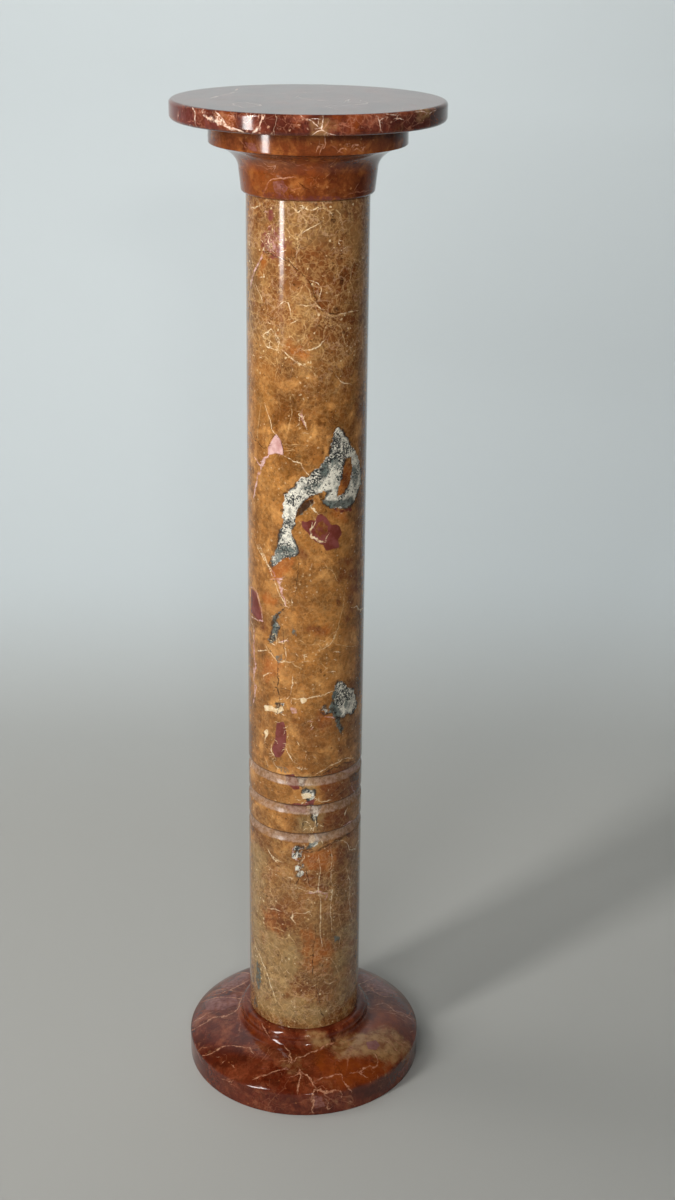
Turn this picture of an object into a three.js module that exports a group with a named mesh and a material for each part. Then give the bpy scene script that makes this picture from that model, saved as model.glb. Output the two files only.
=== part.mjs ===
// A round marble pedestal column: four turned stones stacked on one axis.
// From the floor up: base, shaft with three grooves, capital, top slab.
// Millimetres, +Z up, origin at the middle of the underside.
import * as THREE from 'three';

// Sides of every turned form.
const SIDES = 56;

// Base, from the floor up and from the shaft outwards.
const BASE_ARRIS = 0.75;
const RIM_HEIGHT = 24.5;
const RIM_ROUNDING = 4;
const DOME_RISE = 20.5;
const DOME_RUN = 44.5;
const FILLET_RADIUS = 8;
const COLLAR_SIDE = 0.75;
const COLLAR_ROUNDING = 7;
const LEDGE_WIDTH = 2.25;

// Shaft, a slow taper from foot to neck.
const SHAFT_LENGTH = 873.75;
const SHAFT_FOOT_RADIUS = 59.25;
const SHAFT_TOP_RADIUS = 57;
const SHAFT_ARRIS = 1;

// Grooves round the shaft, counted from the lowest.
const GROOVE_COUNT = 3;
const GROOVE_FIRST_HEIGHT = 227;
const GROOVE_SPACING = 32.5;
const GROOVE_UPPER_HEIGHT = 3.5;
const GROOVE_LOWER_HEIGHT = 7.5;
const GROOVE_DEPTH = 2.4;

// Capital, from the shaft up and outwards.
const NECK_OVERHANG = 4.5;
const NECK_ROUNDING = 3;
const NECK_HEIGHT = 21;
const NECK_FLARE = 2;
const CAVETTO_HALF_WIDTH = 40;
const CAVETTO_HALF_HEIGHT = 24;
const FASCIA_OVERHANG = 27;
const FASCIA_ARRIS = 0.75;
const FASCIA_UPPER_ROUNDING = 1.5;
const CAPITAL_HEIGHT = 64;

// Top slab.
const SLAB_OVERHANG = 34.5;
const SLAB_THICKNESS = 17.5;
const SLAB_LOWER_ROUNDING = 4;
const SLAB_UPPER_ROUNDING = 3.5;

// Radii and heights that follow from the sizes above.
const collarRadius = SHAFT_FOOT_RADIUS + LEDGE_WIDTH + COLLAR_ROUNDING;
const baseRadius = collarRadius + FILLET_RADIUS + DOME_RUN + RIM_ROUNDING;
const domeTop = RIM_HEIGHT + DOME_RISE;
const baseHeight = domeTop + FILLET_RADIUS + COLLAR_SIDE + COLLAR_ROUNDING;
const neckRadius = SHAFT_TOP_RADIUS + NECK_OVERHANG;
const neckTopRadius = neckRadius + NECK_FLARE;
const fasciaRadius = neckTopRadius + FASCIA_OVERHANG;
const slabRadius = fasciaRadius + SLAB_OVERHANG;

const redMarble = { color: 0x6b2c16, roughness: 0.16, metalness: 0 };
const brownMarble = { color: 0x7e3a18, roughness: 0.16, metalness: 0 };
const ochreMarble = { color: 0x9a5f28, roughness: 0.18, metalness: 0 };

// Points of an elliptical arc, from one angle to another in degrees.
// Angle 0 points away from the axis and 90 points up.
function arc(centreRadius, centreHeight, reach, rise, from, to, steps) {
  const points = [];
  for (let i = 0; i <= steps; i += 1) {
    const angle = THREE.MathUtils.degToRad(from + ((to - from) * i) / steps);
    const radius = centreRadius + reach * Math.cos(angle);
    const height = centreHeight + rise * Math.sin(angle);
    points.push(new THREE.Vector2(radius, height));
  }
  return points;
}

// A rounded outer corner below: from the underside round to the side.
function lowerCorner(radius, height, rounding, steps) {
  return arc(radius - rounding, height + rounding, rounding, rounding, -90, 0, steps);
}

// A rounded outer corner above: from the side round to the top.
function upperCorner(radius, height, rounding, steps) {
  return arc(radius - rounding, height - rounding, rounding, rounding, 0, 90, steps);
}

// One closed turned stone. The profile runs upwards, without its two points on the axis.
function turnedStone(name, profile, seatHeight, finish) {
  const first = profile[0];
  const last = profile[profile.length - 1];
  const closed = [new THREE.Vector2(0, first.y), ...profile, new THREE.Vector2(0, last.y)];
  const geometry = new THREE.LatheGeometry(closed, SIDES);
  geometry.rotateX(Math.PI / 2);
  const mesh = new THREE.Mesh(geometry, new THREE.MeshStandardMaterial(finish));
  mesh.name = name;
  mesh.position.z = seatHeight;
  return mesh;
}

// Base: upright rim, domed top, hollow fillet and a raised round collar that seats the shaft.
function baseProfile() {
  const rimCentre = baseRadius - RIM_ROUNDING;
  // The dome leaves the fillet level and runs smoothly into the rounding of the rim.
  const spread = DOME_RUN ** 2 + DOME_RISE ** 2 - RIM_ROUNDING ** 2;
  const domeRadius = spread / (2 * (DOME_RISE - RIM_ROUNDING));
  const domeAxis = collarRadius + FILLET_RADIUS;
  const domeCentre = domeTop - domeRadius;
  const meeting = THREE.MathUtils.radToDeg(Math.atan2(RIM_HEIGHT - domeCentre, rimCentre - domeAxis));
  const rim = arc(rimCentre, RIM_HEIGHT, RIM_ROUNDING, RIM_ROUNDING, 0, meeting, 3);
  const dome = arc(domeAxis, domeCentre, domeRadius, domeRadius, meeting, 90, 6);
  const fillet = arc(domeAxis, domeTop + FILLET_RADIUS, FILLET_RADIUS, FILLET_RADIUS, -90, -180, 4);
  return [
    ...lowerCorner(baseRadius, 0, BASE_ARRIS, 1),
    ...rim,
    ...dome.slice(1),
    ...fillet.slice(1),
    ...upperCorner(collarRadius, baseHeight, COLLAR_ROUNDING, 4),
  ];
}

// Radius of the plain shaft at a height above its foot.
function shaftRadius(height) {
  return THREE.MathUtils.lerp(SHAFT_FOOT_RADIUS, SHAFT_TOP_RADIUS, height / SHAFT_LENGTH);
}

// One hollow groove, from its lower lip up to its upper edge. Its deepest line is above the middle.
function groove(lipHeight) {
  const deepest = lipHeight + GROOVE_LOWER_HEIGHT;
  const points = [];
  const lowerSteps = 4;
  const upperSteps = 3;
  for (let i = 0; i <= lowerSteps; i += 1) {
    const share = i / lowerSteps;
    const height = lipHeight + GROOVE_LOWER_HEIGHT * share;
    const depth = GROOVE_DEPTH * (1 - (1 - share) ** 2);
    points.push(new THREE.Vector2(shaftRadius(height) - depth, height));
  }
  for (let i = 1; i <= upperSteps; i += 1) {
    const share = i / upperSteps;
    const height = deepest + GROOVE_UPPER_HEIGHT * share;
    const depth = GROOVE_DEPTH * (1 - share ** 2);
    points.push(new THREE.Vector2(shaftRadius(height) - depth, height));
  }
  return points;
}

// Shaft: a tapered cylinder with its grooves low down.
function shaftProfile() {
  const profile = lowerCorner(SHAFT_FOOT_RADIUS, 0, SHAFT_ARRIS, 2);
  for (let i = 0; i < GROOVE_COUNT; i += 1) {
    profile.push(...groove(GROOVE_FIRST_HEIGHT + i * GROOVE_SPACING));
  }
  profile.push(...upperCorner(SHAFT_TOP_RADIUS, SHAFT_LENGTH, SHAFT_ARRIS, 2));
  return profile;
}

// Capital: rounded neck that flares a little, a cavetto that sweeps out to the lower edge of a
// plain fascia, and the fascia.
function capitalProfile() {
  const halfWidth = CAVETTO_HALF_WIDTH;
  const halfHeight = CAVETTO_HALF_HEIGHT;
  const centre = neckTopRadius + halfWidth;
  const turn = Math.acos(1 - (FASCIA_OVERHANG - FASCIA_ARRIS) / halfWidth);
  const end = 180 - THREE.MathUtils.radToDeg(turn);
  const fasciaFoot = NECK_HEIGHT + halfHeight * Math.sin(turn);
  return [
    ...lowerCorner(neckRadius, 0, NECK_ROUNDING, 4),
    ...arc(centre, NECK_HEIGHT, halfWidth, halfHeight, 180, end, 11),
    ...lowerCorner(fasciaRadius, fasciaFoot, FASCIA_ARRIS, 2).slice(1),
    ...upperCorner(fasciaRadius, CAPITAL_HEIGHT, FASCIA_UPPER_ROUNDING, 2),
  ];
}

// Top slab: a plain disc with softened edges.
function slabProfile() {
  return [
    ...lowerCorner(slabRadius, 0, SLAB_LOWER_ROUNDING, 3),
    ...upperCorner(slabRadius, SLAB_THICKNESS, SLAB_UPPER_ROUNDING, 3),
  ];
}

const shaftSeat = baseHeight;
const capitalSeat = shaftSeat + SHAFT_LENGTH;
const slabSeat = capitalSeat + CAPITAL_HEIGHT;

const column = new THREE.Group();
column.add(turnedStone('base', baseProfile(), 0, redMarble));
column.add(turnedStone('shaft', shaftProfile(), shaftSeat, ochreMarble));
column.add(turnedStone('capital', capitalProfile(), capitalSeat, brownMarble));
column.add(turnedStone('top_slab', slabProfile(), slabSeat, redMarble));

export default column;
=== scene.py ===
"""A marble pedestal column, dressed for the render.

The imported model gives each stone's place and size. This script makes a finely turned mesh for each of
the four stones, paints the marble's larger veins and clouds on it where they show, and finishes every
stone with its own polished marble. It also sets the plain floor, the soft lights and the camera.
"""

from __future__ import annotations

import logging
import math
import random
import re
from dataclasses import dataclass, field
from enum import Enum

import bpy
import numpy as np
from mathutils import Matrix, Vector, noise
from mathutils.bvhtree import BVHTree


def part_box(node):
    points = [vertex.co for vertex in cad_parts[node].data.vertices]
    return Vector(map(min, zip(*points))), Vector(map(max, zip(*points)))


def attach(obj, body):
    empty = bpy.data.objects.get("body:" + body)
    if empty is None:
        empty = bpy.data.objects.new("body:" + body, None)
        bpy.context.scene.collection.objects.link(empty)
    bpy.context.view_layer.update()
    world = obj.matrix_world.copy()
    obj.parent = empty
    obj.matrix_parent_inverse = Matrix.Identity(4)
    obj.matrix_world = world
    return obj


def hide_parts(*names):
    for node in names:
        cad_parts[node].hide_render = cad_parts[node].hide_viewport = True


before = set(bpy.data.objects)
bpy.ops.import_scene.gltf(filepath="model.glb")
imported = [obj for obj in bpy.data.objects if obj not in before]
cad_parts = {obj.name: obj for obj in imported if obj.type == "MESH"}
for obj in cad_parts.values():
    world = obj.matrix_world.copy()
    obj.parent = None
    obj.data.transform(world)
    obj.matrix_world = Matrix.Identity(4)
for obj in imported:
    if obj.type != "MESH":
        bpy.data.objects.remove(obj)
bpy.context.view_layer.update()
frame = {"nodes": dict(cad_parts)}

LOG = logging.getLogger("column")
MM = 0.001
# What the mesh holds away from every mark, as millimetres inside its edge and as half widths beside it.
FAR = -12.0
BESIDE = 9.0

Point = tuple[float, float]
Colour = tuple[float, float, float]
Place = tuple[float, float, float]
Socket = bpy.types.NodeSocket
Tree = bpy.types.NodeTree


def srgb(red: float, green: float, blue: float) -> Colour:
    """Turns display values into the linear colour that shaders take.

    Args:
        red, green, blue: display values in percent.

    Returns:
        The linear colour.
    """
    shares = (red / 100, green / 100, blue / 100)
    return tuple(v / 12.92 if v <= 0.04045 else ((v + 0.055) / 1.055) ** 2.4 for v in shares)


class Mineral(Enum):
    """What a mark in the marble is made of. The value names the mesh attribute that holds it."""

    PALE = "pale"
    HAIR = "hair"
    QUARTZ = "quartz"
    MAUVE = "mauve"
    LILAC = "lilac"
    DARK = "dark"
    GREEN = "green"
    RUST = "rust"
    BROWN = "brown"
    BEIGE = "beige"
    # The grooves' lower slopes: duller in polish, and their pale colour is a painted sheen of the bright
    # room they face.
    DULL_AND_SHEEN = "dull_and_sheen"


PALE, HAIR, QUARTZ, MAUVE, LILAC, DARK, GREEN, RUST, BROWN, BEIGE, DULL_AND_SHEEN = Mineral


class Frame(Enum):
    """How the points of a mark are given."""

    PHOTO = "pixels of the photograph"
    SIDE = "degrees round from the front and millimetres of height"
    TOP = "millimetres across and along the top face"


@dataclass(frozen=True)
class EdgeStyle:
    """How the edge of one mineral looks, in millimetres, with the grain in waves a metre."""

    soft: float
    ragged: float
    grain: float


EDGES = {
    PALE: EdgeStyle(0.4, 0.42, 330.0),
    HAIR: EdgeStyle(0.45, 0.5, 300.0),
    QUARTZ: EdgeStyle(0.4, 2.3, 170.0),
    MAUVE: EdgeStyle(0.45, 0.6, 210.0),
    LILAC: EdgeStyle(0.45, 0.5, 240.0),
    DARK: EdgeStyle(0.4, 0.4, 420.0),
    GREEN: EdgeStyle(0.9, 1.5, 300.0),
    RUST: EdgeStyle(6.0, 13.0, 42.0),
    BROWN: EdgeStyle(4.0, 7.0, 70.0),
    BEIGE: EdgeStyle(6.5, 12.0, 48.0),
    DULL_AND_SHEEN: EdgeStyle(1.1, 0.6, 160.0),
}
TINTS = {RUST: 0.6, BROWN: 0.88, BEIGE: 0.7}
# The inlay on the grooves' lower slopes is a pale painted sheen.
INLAYS = {GREEN: 0.88, HAIR: 0.5, PALE: 0.9, DARK: 0.9, DULL_AND_SHEEN: 0.62}
LINED = (PALE, HAIR, DARK, LILAC)


@dataclass(frozen=True)
class Viewpoint:
    """The camera at the photograph's viewing angle. Lengths are millimetres, angles degrees.

    The focal length is in pixels of a frame 675 wide and 1200 high.
    """

    width: float = 675.0
    height: float = 1200.0
    focal: float = 1750.8
    distance: float = 1619.7
    eye_height: float = 1190.0
    pitch: float = 22.11
    yaw: float = 1.11
    roll: float = 0.69
    sensor: float = 36.0

    def axes(self) -> tuple[np.ndarray, np.ndarray, np.ndarray]:
        """Works out how the camera is turned.

        Returns:
            Its right, up and forward directions.
        """
        pitch, yaw, roll = (math.radians(a) for a in (self.pitch, self.yaw, self.roll))
        ahead = (math.sin(yaw) * math.cos(pitch), math.cos(yaw) * math.cos(pitch), -math.sin(pitch))
        level = np.array((math.cos(yaw), -math.sin(yaw), 0.0))
        above = np.array((math.sin(yaw) * math.sin(pitch), math.cos(yaw) * math.sin(pitch), math.cos(pitch)))
        right = math.cos(roll) * level + math.sin(roll) * above
        up = math.cos(roll) * above - math.sin(roll) * level
        return right, up, np.array(ahead)

    def eye(self) -> np.ndarray:
        """Gives the camera's place in millimetres."""
        return np.array((0.0, -self.distance, self.eye_height))

    def sight(self, pixel: Point) -> np.ndarray:
        """Gives the direction in which the camera sees a pixel.

        Args:
            pixel: column and row in the 675 by 1200 frame.

        Returns:
            The unit direction.
        """
        right, up, ahead = self.axes()
        across = (pixel[0] - self.width / 2) / self.focal
        down = (pixel[1] - self.height / 2) / self.focal
        way = ahead + across * right - down * up
        return way / np.linalg.norm(way)

    def build(self) -> None:
        """Makes the camera and looks through it."""
        data = bpy.data.cameras.new("photo_camera")
        data.sensor_width = self.sensor
        data.lens = self.focal * self.sensor / self.height
        data.clip_end = 50.0
        camera = bpy.data.objects.new("photo_camera", data)
        right, up, ahead = self.axes()
        place = Matrix.Identity(4)
        for row in range(3):
            place[row][0], place[row][1], place[row][2] = right[row], up[row], -ahead[row]
            place[row][3] = self.eye()[row] * MM
        camera.matrix_world = place
        bpy.context.scene.collection.objects.link(camera)
        bpy.context.scene.camera = camera


class Graph:
    """A node tree that is being written."""

    def __init__(self, tree: Tree) -> None:
        """Starts on an empty tree."""
        self.tree = tree
        self.tree.nodes.clear()

    def node(self, kind: str, **settings: object) -> bpy.types.Node:
        """Adds a node.

        Args:
            kind: its type.
            settings: its properties by name.

        Returns:
            The node.
        """
        made = self.tree.nodes.new(kind)
        for name, value in settings.items():
            setattr(made, name, value)
        return made

    def feed(self, socket: Socket, value: object) -> None:
        """Joins a socket to another one, or sets its plain value.

        Args:
            socket: the input to feed.
            value: an output socket, a number, or a colour or vector.
        """
        if isinstance(value, Socket):
            self.tree.links.new(value, socket)
        elif isinstance(value, tuple) and socket.type == "RGBA":
            socket.default_value = (*value, 1.0)
        else:
            socket.default_value = value

    def math(self, operation: str, *values: object) -> Socket:
        """Adds a Math node.

        Args:
            operation: what it does.
            values: what feeds its inputs.

        Returns:
            Its result.
        """
        made = self.node("ShaderNodeMath", operation=operation)
        for socket, value in zip(made.inputs, values):
            self.feed(socket, value)
        return made.outputs[0]

    def times(self, first: object, second: object) -> Socket:
        """Multiplies two values."""
        return self.math("MULTIPLY", first, second)

    def vector(self, operation: str, *values: object) -> Socket:
        """Adds a Vector Math node.

        Args:
            operation: what it does.
            values: what feeds its inputs, or a vector and a scale.

        Returns:
            Its vector.
        """
        made = self.node("ShaderNodeVectorMath", operation=operation)
        sockets = [made.inputs[0], made.inputs["Scale"] if operation == "SCALE" else made.inputs[1]]
        for socket, value in zip(sockets, values):
            self.feed(socket, value)
        return made.outputs[0]

    def mix(self, factor: object, first: object, second: object, blend: str = "MIX") -> Socket:
        """Mixes two colours by a factor.

        Args:
            factor: how much of the second colour shows, from 0 to 1.
            first: the colour underneath.
            second: the colour on top.
            blend: the way of mixing.

        Returns:
            The mixed colour.
        """
        made = self.node("ShaderNodeMix", data_type="RGBA", blend_type=blend)
        self.feed(made.inputs[0], factor)
        self.feed(made.inputs[6], first)
        self.feed(made.inputs[7], second)
        return made.outputs[2]

    def step(self, value: object, low: object, high: object, to: Point = (0.0, 1.0)) -> Socket:
        """Turns a value into a smooth step between two bounds.

        Args:
            value: the value to read.
            low: where the step starts.
            high: where the step ends.
            to: what it gives at the start and at the end.

        Returns:
            The stepped value.
        """
        made = self.node("ShaderNodeMapRange", interpolation_type="SMOOTHSTEP")
        for socket, fed in zip(made.inputs, (value, low, high, *to)):
            self.feed(socket, fed)
        return made.outputs["Result"]

    def noise(
        self, place: object, scale: object, detail: float = 3.0, rough: float = 0.55, warp: float = 0.0
    ) -> bpy.types.Node:
        """Adds a noise texture.

        Args:
            place: the coordinates.
            scale: how many waves go in a metre.
            detail: how many finer layers it has.
            rough: how strong the finer layers are.
            warp: how far it is distorted.

        Returns:
            The node, with its Fac and Color outputs.
        """
        made = self.node("ShaderNodeTexNoise")
        own = {"Vector": place, "Scale": scale, "Detail": detail, "Roughness": rough, "Distortion": warp}
        for label, value in own.items():
            self.feed(made.inputs[label], value)
        return made


class StoneGroups:
    """The shader groups that the four marbles share, each made once."""

    def __init__(self) -> None:
        """Makes every group."""
        self.mottle = self._mottle()
        self.net = self._net()
        self.wander = self._wander()
        self.specks = self._specks()
        self.placed = self._placed()
        self.granular = self._granular()
        self.polish = self._polish()

    @staticmethod
    def _start(name: str, inputs: dict[str, object], outputs: dict[str, str]) -> tuple:
        """Makes an empty group with its sockets.

        Args:
            name: the group's name.
            inputs: input names and their defaults, a number, a colour or None for a vector.
            outputs: output names and their socket types.

        Returns:
            The graph, the group's input sockets by name and its output sockets by name.
        """
        tree = bpy.data.node_groups.new(name, "ShaderNodeTree")
        graph = Graph(tree)
        for label, default in inputs.items():
            if default is None:
                tree.interface.new_socket(label, in_out="INPUT", socket_type="NodeSocketVector")
            elif isinstance(default, tuple):
                made = tree.interface.new_socket(label, in_out="INPUT", socket_type="NodeSocketColor")
                made.default_value = (*default, 1.0)
            else:
                made = tree.interface.new_socket(label, in_out="INPUT", socket_type="NodeSocketFloat")
                made.default_value = default
        for label, kind in outputs.items():
            tree.interface.new_socket(label, in_out="OUTPUT", socket_type=kind)
        entry = graph.node("NodeGroupInput")
        leave = graph.node("NodeGroupOutput")
        return graph, entry.outputs, leave.inputs

    def _mottle(self) -> Tree:
        """Makes the clouded ground of a marble from three of its colours.

        Returns:
            The group.
        """
        colours = {"Deep": (0.2, 0.1, 0.05), "Body": (0.4, 0.2, 0.1), "Light": (0.6, 0.4, 0.2)}
        graph, put, out = self._start(
            "marble ground",
            {"Vector": None, "Scale": 12.0, "Grain": 0.3, "Broken": 0.3, **colours},
            {"Color": "NodeSocketColor"},
        )
        broad = graph.noise(put["Vector"], put["Scale"], 4.0, 0.6, 0.6)
        mid_scale = graph.times(put["Scale"], 4.3)
        mid = graph.noise(put["Vector"], mid_scale, 5.0, 0.62, 0.3)
        fine_scale = graph.times(put["Scale"], 26.0)
        fine = graph.noise(put["Vector"], fine_scale, 4.0, 0.75)
        cleared = graph.step(broad.outputs["Fac"], 0.36, 0.62)
        ground = graph.mix(cleared, put["Deep"], put["Body"])
        pale = graph.step(mid.outputs["Fac"], 0.48, 0.72)
        ground = graph.mix(pale, ground, put["Light"])
        push = graph.vector("SUBTRACT", mid.outputs["Color"], (0.5, 0.5, 0.5))
        pushed = graph.vector("ADD", put["Vector"], graph.vector("SCALE", push, 0.05))
        pieces = graph.node("ShaderNodeTexVoronoi", feature="F1")
        graph.feed(pieces.inputs["Vector"], pushed)
        graph.feed(pieces.inputs["Scale"], graph.times(put["Scale"], 11.0))
        tone = graph.node("ShaderNodeSeparateColor")
        graph.feed(tone.inputs[0], pieces.outputs["Color"])
        fleck = graph.times(graph.step(tone.outputs[1], 0.6, 0.95), put["Broken"])
        ground = graph.mix(fleck, ground, put["Light"])
        shade = graph.math("SUBTRACT", fine.outputs["Fac"], 0.5)
        shade = graph.math("MULTIPLY_ADD", shade, put["Grain"], 1.0)
        middle = graph.math("SUBTRACT", mid.outputs["Fac"], 0.5)
        shade = graph.math("MULTIPLY_ADD", middle, put["Grain"], shade)
        uneven = graph.math("SUBTRACT", tone.outputs[0], 0.5)
        shade = graph.math("MULTIPLY_ADD", uneven, put["Broken"], shade)
        graph.feed(out["Color"], graph.mix(1.0, ground, shade, "MULTIPLY"))
        return graph.tree

    def _net(self) -> Tree:
        """Makes a net of fine veins, as where marble cracked and healed.

        Returns:
            The group.
        """
        graph, put, out = self._start(
            "vein net",
            {"Vector": None, "Scale": 60.0, "Warp": 0.01, "Width": 0.03, "Cover": 0.5, "Seed": 0.0},
            {"Mask": "NodeSocketFloat"},
        )
        shift = graph.vector("ADD", put["Vector"], graph.vector("SCALE", (0.71, 0.37, 0.53), put["Seed"]))
        half_scale = graph.times(put["Scale"], 0.7)
        bend = graph.noise(shift, half_scale, 4.0, 0.6)
        push = graph.vector("SUBTRACT", bend.outputs["Color"], (0.5, 0.5, 0.5))
        place = graph.vector("ADD", shift, graph.vector("SCALE", push, put["Warp"]))
        cells = graph.node("ShaderNodeTexVoronoi", feature="DISTANCE_TO_EDGE")
        graph.feed(cells.inputs["Vector"], place)
        graph.feed(cells.inputs["Scale"], put["Scale"])
        vary = graph.noise(shift, put["Scale"], 2.0)
        wide = graph.times(put["Width"], graph.step(vary.outputs["Fac"], 0.3, 0.7, (0.25, 1.8)))
        line = graph.step(cells.outputs["Distance"], 0.0, wide, (1.0, 0.0))
        patchy = graph.noise(shift, graph.times(put["Scale"], 0.28), 3.0, 0.6)
        open_at = graph.math("SUBTRACT", 1.0, put["Cover"])
        low, high = graph.math("SUBTRACT", open_at, 0.07), graph.math("ADD", open_at, 0.07)
        shown = graph.step(patchy.outputs["Fac"], low, high)
        graph.feed(out["Mask"], graph.times(line, shown))
        return graph.tree

    def _wander(self) -> Tree:
        """Makes long veins that wander and curl.

        Returns:
            The group.
        """
        graph, put, out = self._start(
            "wandering veins",
            {"Vector": None, "Scale": 14.0, "Width": 0.01, "Cover": 0.5, "Seed": 0.0},
            {"Mask": "NodeSocketFloat"},
        )
        shift = graph.vector("ADD", put["Vector"], graph.vector("SCALE", (0.31, 0.83, 0.47), put["Seed"]))
        field_noise = graph.noise(shift, put["Scale"], 5.0, 0.5, 0.9)
        level = graph.math("ABSOLUTE", graph.math("SUBTRACT", field_noise.outputs["Fac"], 0.5))
        line = graph.step(level, 0.0, put["Width"], (1.0, 0.0))
        patchy = graph.noise(shift, graph.times(put["Scale"], 1.7), 2.0, 0.5)
        open_at = graph.math("SUBTRACT", 1.0, put["Cover"])
        low, high = graph.math("SUBTRACT", open_at, 0.05), graph.math("ADD", open_at, 0.05)
        shown = graph.step(patchy.outputs["Fac"], low, high)
        graph.feed(out["Mask"], graph.times(line, shown))
        return graph.tree

    def _specks(self) -> Tree:
        """Makes scattered specks of uneven size.

        Returns:
            The group.
        """
        graph, put, out = self._start(
            "specks",
            {"Vector": None, "Scale": 200.0, "Size": 0.3, "Cover": 0.3, "Seed": 0.0},
            {"Mask": "NodeSocketFloat"},
        )
        shift = graph.vector("ADD", put["Vector"], graph.vector("SCALE", (0.57, 0.19, 0.91), put["Seed"]))
        rough = graph.noise(shift, graph.times(put["Scale"], 1.6), 2.0)
        push = graph.vector("SUBTRACT", rough.outputs["Color"], (0.5, 0.5, 0.5))
        reach = graph.math("DIVIDE", 0.9, put["Scale"])
        cells = graph.node("ShaderNodeTexVoronoi", feature="F1")
        graph.feed(cells.inputs["Vector"], graph.vector("ADD", shift, graph.vector("SCALE", push, reach)))
        graph.feed(cells.inputs["Scale"], put["Scale"])
        apart = graph.node("ShaderNodeSeparateColor")
        graph.feed(apart.inputs[0], cells.outputs["Color"])
        patchy = graph.noise(shift, graph.times(put["Scale"], 0.12), 3.0, 0.6)
        dense = graph.step(patchy.outputs["Fac"], 0.35, 0.68, (0.1, 1.9))
        chance = graph.times(put["Cover"], dense)
        kept = graph.math("LESS_THAN", apart.outputs[0], chance)
        size = graph.times(put["Size"], graph.math("ADD", apart.outputs[1], 0.45))
        spot = graph.step(cells.outputs["Distance"], graph.times(size, 0.55), size, (1.0, 0.0))
        graph.feed(out["Mask"], graph.times(spot, kept))
        return graph.tree

    def _placed(self) -> Tree:
        """Makes the ragged edge of a mark that the mesh holds as a distance in millimetres.

        Returns:
            The group.
        """
        graph, put, out = self._start(
            "placed mark",
            {"Vector": None, "Field": FAR, "Line": BESIDE, "Ragged": 0.6, "Grain": 260.0, "Soft": 0.35},
            {"Mask": "NodeSocketFloat"},
        )
        rough = graph.noise(put["Vector"], put["Grain"], 4.0, 0.62)
        jag = graph.times(graph.math("SUBTRACT", rough.outputs["Fac"], 0.5), 4.0)
        edge = graph.math("MULTIPLY_ADD", jag, put["Ragged"], put["Field"])
        low = graph.times(put["Soft"], -1.0)
        inside = graph.step(edge, low, put["Soft"])
        sway = graph.math("SUBTRACT", graph.noise(put["Vector"], 105.0, 3.0, 0.6).outputs["Fac"], 0.5)
        bent = graph.math("MULTIPLY_ADD", sway, 9.0, graph.math("MULTIPLY_ADD", jag, 0.4, put["Line"]))
        line = graph.step(graph.math("ABSOLUTE", bent), 0.4, 1.3, (1.0, 0.0))
        line = graph.times(line, graph.step(put["Field"], -2.8, -2.0))
        broken = graph.noise(put["Vector"], 230.0, 3.0, 0.65).outputs["Fac"]
        line = graph.times(line, graph.step(broken, 0.38, 0.58, (0.2, 1.0)))
        graph.feed(out["Mask"], graph.math("MAXIMUM", inside, line))
        return graph.tree

    def _granular(self) -> Tree:
        """Makes the sugary look of quartz from white, grey and dark grains.

        Returns:
            The group.
        """
        colours = {"White": (0.6, 0.6, 0.55), "Grey": (0.3, 0.3, 0.28), "Dark": (0.03, 0.04, 0.04)}
        graph, put, out = self._start(
            "granular quartz",
            {"Vector": None, "Scale": 300.0, "Dirt": 0.4, **colours},
            {"Color": "NodeSocketColor", "Height": "NodeSocketFloat"},
        )
        clouds = graph.noise(put["Vector"], graph.times(put["Scale"], 0.33), 4.0, 0.65)
        grains = graph.noise(put["Vector"], put["Scale"], 5.0, 0.72)
        shade = graph.step(clouds.outputs["Fac"], 0.48, 0.68)
        ground = graph.mix(shade, put["White"], put["Grey"])
        spots = graph.noise(put["Vector"], graph.times(put["Scale"], 1.35), 3.0, 0.7, 0.4)
        broad = graph.noise(put["Vector"], graph.times(put["Scale"], 0.13), 2.0, 0.5)
        dirty = graph.times(put["Dirt"], graph.step(broad.outputs["Fac"], 0.38, 0.6, (0.22, 0.38)))
        start = graph.math("SUBTRACT", 0.78, dirty)
        dirt = graph.step(spots.outputs["Fac"], start, graph.math("ADD", start, 0.09))
        ground = graph.mix(dirt, ground, put["Dark"])
        sparkle = graph.step(grains.outputs["Fac"], 0.35, 0.7, (0.82, 1.16))
        graph.feed(out["Color"], graph.mix(1.0, ground, sparkle, "MULTIPLY"))
        graph.feed(out["Height"], grains.outputs["Fac"])
        return graph.tree

    def _polish(self) -> Tree:
        """Makes the uneven polish: smears and faint rubbing in the roughness, and a soft waviness.

        Returns:
            The group.
        """
        graph, put, out = self._start(
            "worn polish",
            {"Vector": None, "Gloss": 0.14, "Haze": 0.06, "Open": 0.0, "Open Rough": 0.4},
            {"Roughness": "NodeSocketFloat", "Height": "NodeSocketFloat"},
        )
        smear = graph.noise(put["Vector"], 38.0, 4.0, 0.6, 0.5)
        tooth = graph.noise(put["Vector"], 900.0, 2.0, 0.6)
        haze = graph.times(graph.step(smear.outputs["Fac"], 0.35, 0.75), put["Haze"])
        rough = graph.math("ADD", put["Gloss"], haze)
        opened = graph.node("ShaderNodeMix", data_type="FLOAT")
        graph.feed(opened.inputs[0], put["Open"])
        graph.feed(opened.inputs[2], rough)
        graph.feed(opened.inputs[3], put["Open Rough"])
        graph.feed(out["Roughness"], opened.outputs[0])
        waves = graph.times(smear.outputs["Fac"], 0.25)
        graph.feed(out["Height"], graph.math("MULTIPLY_ADD", tooth.outputs["Fac"], 0.06, waves))
        return graph.tree


class Layer(Enum):
    """What a layer over the whole stone is made of."""

    NET = "a net of healed cracks"
    WANDER = "long wandering veins"
    SPECKS = "scattered specks"


NET, WANDER, SPECKS = Layer


@dataclass(frozen=True)
class VeinNet:
    """One procedural layer of veins or specks over the whole stone."""

    style: Layer
    scale: float
    width: float
    cover: float
    colour: Colour
    strength: float
    warp: float = 0.012
    seed: float = 0.0
    middle: float = 1.0


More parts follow.
